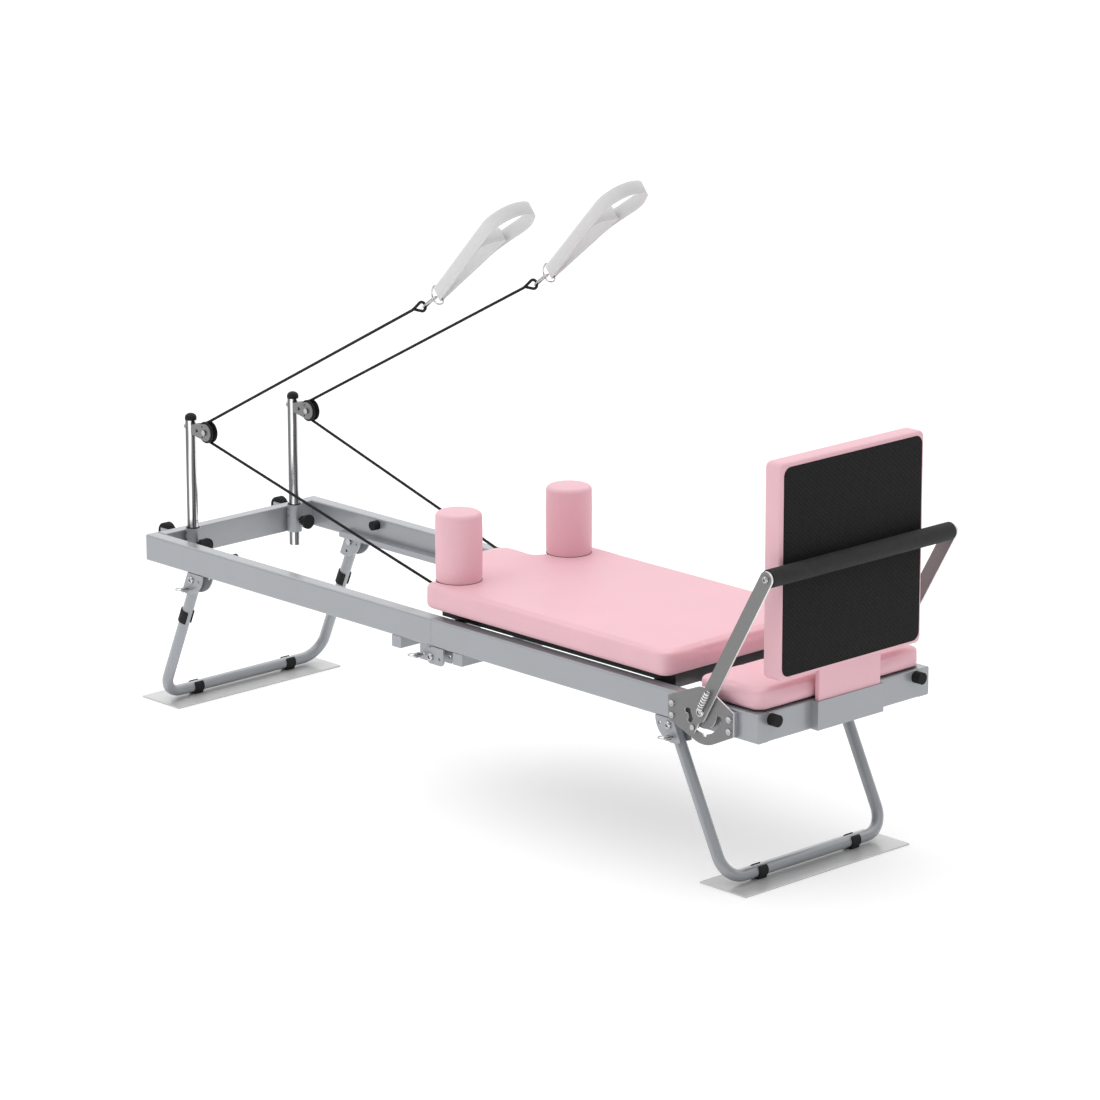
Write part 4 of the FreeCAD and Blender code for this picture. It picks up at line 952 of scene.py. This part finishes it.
def add_hook(side, sign):
    """The wire snap hook, its gate sleeve and the D-ring."""
    wire_radius, hook_bend, ring_bend = 0.0021, 0.0069, 0.0245
    hook = [strap_point(sign, a, b) for a, b in ((-39, 7), (-11, 7), (-11, -7), (-68, -7), (-68, 7), (-39, 7))]
    line, _ = resample(rounded_points(hook, [0] + [hook_bend] * 4 + [0], 0.001), 0.0015)
    wire = tube(f"hook_wire_{side}", line, wire_radius, "chrome", 14, slot="chrome")
    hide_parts(f"snap_hook_{side}")
    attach(wire, f"handle_{side}")
    gate, _ = resample([strap_point(sign, -50, 7), strap_point(sign, -26, 7)], 0.002)
    sleeve = tube(f"hook_gate_{side}", gate, 0.0030, "zinc", 16, slot="chrome")
    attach(sleeve, f"handle_{side}")
    ring = [strap_point(sign, a, 0, b) for a, b in ((5, 0), (5, -25), (-25, -25), (-25, 25), (5, 25), (5, 0))]
    line, _ = resample(rounded_points(ring, [0, 0.004, ring_bend, ring_bend, 0.004, 0], 0.001), 0.0015)
    wire = tube(f"ring_wire_{side}", line, wire_radius, "chrome", 14, slot="chrome")
    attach(wire, f"handle_{side}")


for side, sign in SIDES:
    add_upper_rope(side, sign)
    add_lower_rope(side, sign)
    add_strap(side, sign)
    add_hook(side, sign)


# ---------------------------------------------------------------- posts, springs, grip
FOOT_BAR_PIVOT = Vector((0.975, 0, 0.447))
FOOT_BAR_SLOPE, FOOT_BAR_REACH = 60.2, 0.4267  # degrees above level, and from the pivot to the grip
LEG_PIVOT = Vector((-0.963, 0.280, 0.380))  # of the head leg, on the far side
RAIL_FACE = 0.3000  # the rails' outer faces stand this far to each side
BRACKET_BOLTS = ((34, "head_frame", LEG_PIVOT.x, LEG_PIVOT.z), (842, "foot_frame", 0.842, 0.380),
                 (985, "foot_frame", -0.012, 0.369))


def outward(degrees):
    """The level direction at a compass bearing."""
    turn = math.radians(degrees)
    return Vector((math.cos(turn), math.sin(turn), 0))


def add_posts():
    """The chrome posts with caps, plugs and pin holes, and the screws and liners of their sockets."""
    foot, top, radius, bore = 0.363, 0.780, 0.0150, 0.0128
    cap_base, cap_radius, cap_rise = 0.782, 0.0160, 0.0125
    dome = [(0.0001, 0.776), (0.0158, 0.776), (cap_radius, 0.778), (cap_radius, cap_base)]
    for k in range(1, 9):
        turn = math.radians(90 * k / 8)
        dome.append((cap_radius * math.cos(turn) + 0.0001, cap_base + cap_rise * math.sin(turn)))
    screw_profile = [(0.0001, -0.001), (0.0026, -0.001), (0.0026, 0.0004), (0.0018, 0.0006), (0.0014, -0.0002),
                     (0.0001, -0.0003)]
    liner_profile = [(0.0152, 0.4755), (0.0185, 0.4755), (0.0185, 0.4778), (0.0180, 0.4784), (0.0156, 0.4784),
                     (0.0152, 0.4778)]
    plug_profile = [(0.0001, 0.3655), (0.0126, 0.3655), (0.0126, 0.372), (0.0001, 0.372)]
    for side, sign in SIDES:
        at = Vector((-1.098, sign * POST_LINE, 0))
        shell = [(bore, foot), (radius, foot), (radius, top), (bore, top)]
        post = lathe(f"post_tube_{side}", shell, "post_chrome_painted_reflections", at, 64, slot="chrome")
        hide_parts(f"post_{side}")
        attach(post, f"post_{side}")
        cap = lathe(f"post_cap_{side}", dome, "black_plastic", at, 48, slot="black_plastic")
        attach(cap, f"post_{side}")
        for index, (z, bearing, wide) in enumerate(((0.495, 9, 0.0040), (0.769, -22, 0.0036))):
            out = outward(bearing)
            rim = [(0.0001, -0.0006), (wide * 0.9, -0.0006), (wide, 0.0), (wide, 0.0003), (wide * 0.8, 0.0004),
                   (wide * 0.7, -0.0002), (0.0001, -0.0003)]
            hole = lathe(f"post_hole_{side}_{index}", rim, "black_plastic", at + Vector((0, 0, z)) + out * 0.0149,
                         20, out, slot="black_plastic")
            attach(hole, f"post_{side}")
        out = outward(-100)
        for index, z in enumerate((0.464, 0.447)):
            screw = lathe(f"socket_screw_{side}_{index}", screw_profile, "black_plastic",
                          at + Vector((0, 0, z)) + out * 0.0205, 18, out, slot="black_plastic")
            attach(screw, "head_frame")
        liner = lathe(f"socket_liner_{side}", liner_profile, "black_plastic", at, 48, slot="black_plastic")
        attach(liner, "head_frame")
        plug = lathe(f"post_plug_{side}", plug_profile, "black_plastic", at, 32, slot="black_plastic")
        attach(plug, f"post_{side}")


def coil(name, start, end, radius, wire, turns, look, **extra):
    """A closed-wound helical spring with a short straight tail to each end."""
    start, end = Vector(start), Vector(end)
    axis = (end - start).normalized()
    side = axis.orthogonal().normalized()
    other = axis.cross(side)
    length = (end - start).length
    steps = int(turns * 20)
    line = [start]
    for k in range(steps + 1):
        share = k / steps
        turn = 2 * math.pi * turns * share
        swell = min(1.0, share * turns * 1.2 + 0.15, (1 - share) * turns * 1.2 + 0.15)
        line.append(start + axis * (length * (0.02 + 0.96 * share))
                    + (side * math.cos(turn) + other * math.sin(turn)) * radius * swell)
    line.append(end)
    return tube(name, line, wire, look, 8, **extra)


def add_springs():
    """The four springs between their bar and the carriage."""
    fixed, pulled, height = 0.887, 0.593, 0.437
    for number, y in enumerate((-0.096, -0.032, 0.032, 0.096)):
        spring = coil(f"spring_{number}", (fixed, y, height), (pulled, y, height), 0.0088, 0.0013, 58, "zinc",
                      slot="chrome")
        if number == 0:
            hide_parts("springs")
        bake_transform(spring)


def add_foot_bar():
    """The foam grip with its end bolts, and the two small springs at the pivots."""
    turn = math.radians(FOOT_BAR_SLOPE)
    along = Vector((math.cos(turn), 0, math.sin(turn)))
    end = FOOT_BAR_PIVOT + along * FOOT_BAR_REACH
    profile = [(0.0165, -0.3165), (0.0215, -0.3165), (0.0225, -0.3145), (0.0225, 0.3145), (0.0215, 0.3165),
               (0.0165, 0.3165)]
    grip = lathe("grip_foam", profile, "foam", end, 64, (0, 1, 0), slot="foam")
    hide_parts("foot_bar_grip")
    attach(grip, "foot_bar")
    for side, sign in SIDES:
        y = sign * 0.3333
        start = FOOT_BAR_PIVOT + along * 0.008 + Vector((0, y, 0))
        spring = coil(f"bar_spring_{side}", start, start + along * 0.062, 0.0068, 0.0021, 7.5, "bright",
                      slot="chrome")
        if side == "near":
            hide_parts("foot_bar_springs")
        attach(spring, "foot_bar")
        bolt = button_head(f"grip_bolt_{side}", end + Vector((0, sign * 0.325, 0)), sign, 0.0094, 0.0062)
        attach(bolt, "foot_bar")


def button_head(name, base, sign, radius, height):
    """A domed bolt head with a hexagonal socket, standing off a face along Y."""
    # share of the radius, share of the height, and whether the ring is hexagonal
    rows = [(0.6, 0.0, False), (1.0, 0.0, False), (1.0, 0.22, False), (0.93, 0.55, False), (0.78, 0.83, False),
            (0.60, 0.98, False), (0.44, 1.0, True), (0.42, 0.35, True), (0.02, 0.30, True)]
    sides = 36
    points, faces = [], []
    for share, rise, hexagonal in rows:
        for k in range(sides):
            angle = 2 * math.pi * k / sides
            flat = math.cos(math.radians(30)) / math.cos((angle % math.radians(60)) - math.radians(30))
            reach = radius * share * (flat if hexagonal else 1.0)
            points.append(base + Vector((reach * math.cos(angle), sign * height * rise, reach * math.sin(angle))))
    for row in range(len(rows) - 1):
        for k in range(sides):
            after = (k + 1) % sides
            faces.append((row * sides + k, row * sides + after, (row + 1) * sides + after, (row + 1) * sides + k))
    faces.append(tuple(range((len(rows) - 1) * sides, len(rows) * sides)))
    head = add_mesh(name, points, faces, "zinc", slot="steel")
    fix_normals(head)
    return sharpen(head, 40)


def add_bolts():
    """Bolt heads over the side plates, the foot bar's pivots and the folding joints."""
    for side, sign in SIDES:
        for index, (x, z) in enumerate(((0.870, 0.415), (0.870, 0.445), (1.062, 0.415), (1.062, 0.445))):
            head = button_head(f"plate_bolt_{side}_{index}", Vector((x, sign * 0.3150, z)), sign, 0.0084, 0.0037)
            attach(head, "foot_frame")
        place = Vector((FOOT_BAR_PIVOT.x, sign * 0.3250, FOOT_BAR_PIVOT.z))
        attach(button_head(f"bar_nut_{side}", place, sign, 0.0128, 0.0062), "foot_frame")
        for tag, body, x, z in BRACKET_BOLTS:
            head = button_head(f"pivot_bolt_{side}_{tag}", Vector((x, sign * RAIL_FACE, z)), sign, 0.0104, 0.0062)
            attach(head, body)


add_posts()
add_springs()
add_foot_bar()
add_bolts()


# ---------------------------------------------------------------- finishes of the CAD pieces
dress("rail", "head_rail_near", "head_rail_far", "foot_rail_near", "foot_rail_far", "head_tracks", "foot_tracks",
      "head_end_tube", "foot_end_tube", "head_middle_tube", "foot_middle_tube", "head_brackets", "foot_brackets",
      "head_leg", "foot_leg")
dress("plate", "head_floor_plate", "foot_floor_plate")
dress("black_paint", "carriage_frame", "spring_bar")
dress("laser_plate", "side_plates", "foot_bar_arms")
dress("zinc", "head_leg_bolts", "foot_pivot_bolts", "side_plate_bolts", "foot_bar_locks")
dress("cheek_steel", "pulley_block_near", "pulley_block_far")
dress("rubber", "end_bumpers", "rail_stops", "transport_wheels")
dress("black_plastic", "pulley_wheel_near", "pulley_wheel_far", "clamp_knob_near", "clamp_knob_far",
      "carriage_head_wheels", "carriage_foot_wheels")
PLATE_TOP = 0.0042
for half in ("head", "foot"):
    dress_part("black_plastic", f"{half}_floor_plate", lambda centre: centre.z > PLATE_TOP)


def on_leg_clip(centre):
    """Whether a point belongs to one of the two clips round the head leg."""
    lean = math.radians(23.5)
    down = Vector((-math.sin(lean), 0, -math.cos(lean)))
    offset = centre - Vector((LEG_PIVOT.x, math.copysign(LEG_PIVOT.y, centre.y), LEG_PIVOT.z))
    along = offset.dot(down)
    return 0.100 < along < 0.146 and (offset - down * along).length > 0.0154


def on_pulley_bolt(line):
    """A test for the bolt ends and nuts that stand out of a pulley block."""
    cheek_face, saddle_back = 0.0126, -1.1125
    return lambda centre: abs(centre.y - line) > cheek_face or centre.x < saddle_back


dress_part("black_plastic", "head_leg", on_leg_clip)
for side, sign in SIDES:
    dress_part("zinc", f"pulley_block_{side}", on_pulley_bolt(sign * POST_LINE))
for place in ("hinge_pin", "head_leg_pin", "foot_leg_pin"):
    dress("zinc", f"{place}_near", f"{place}_far")
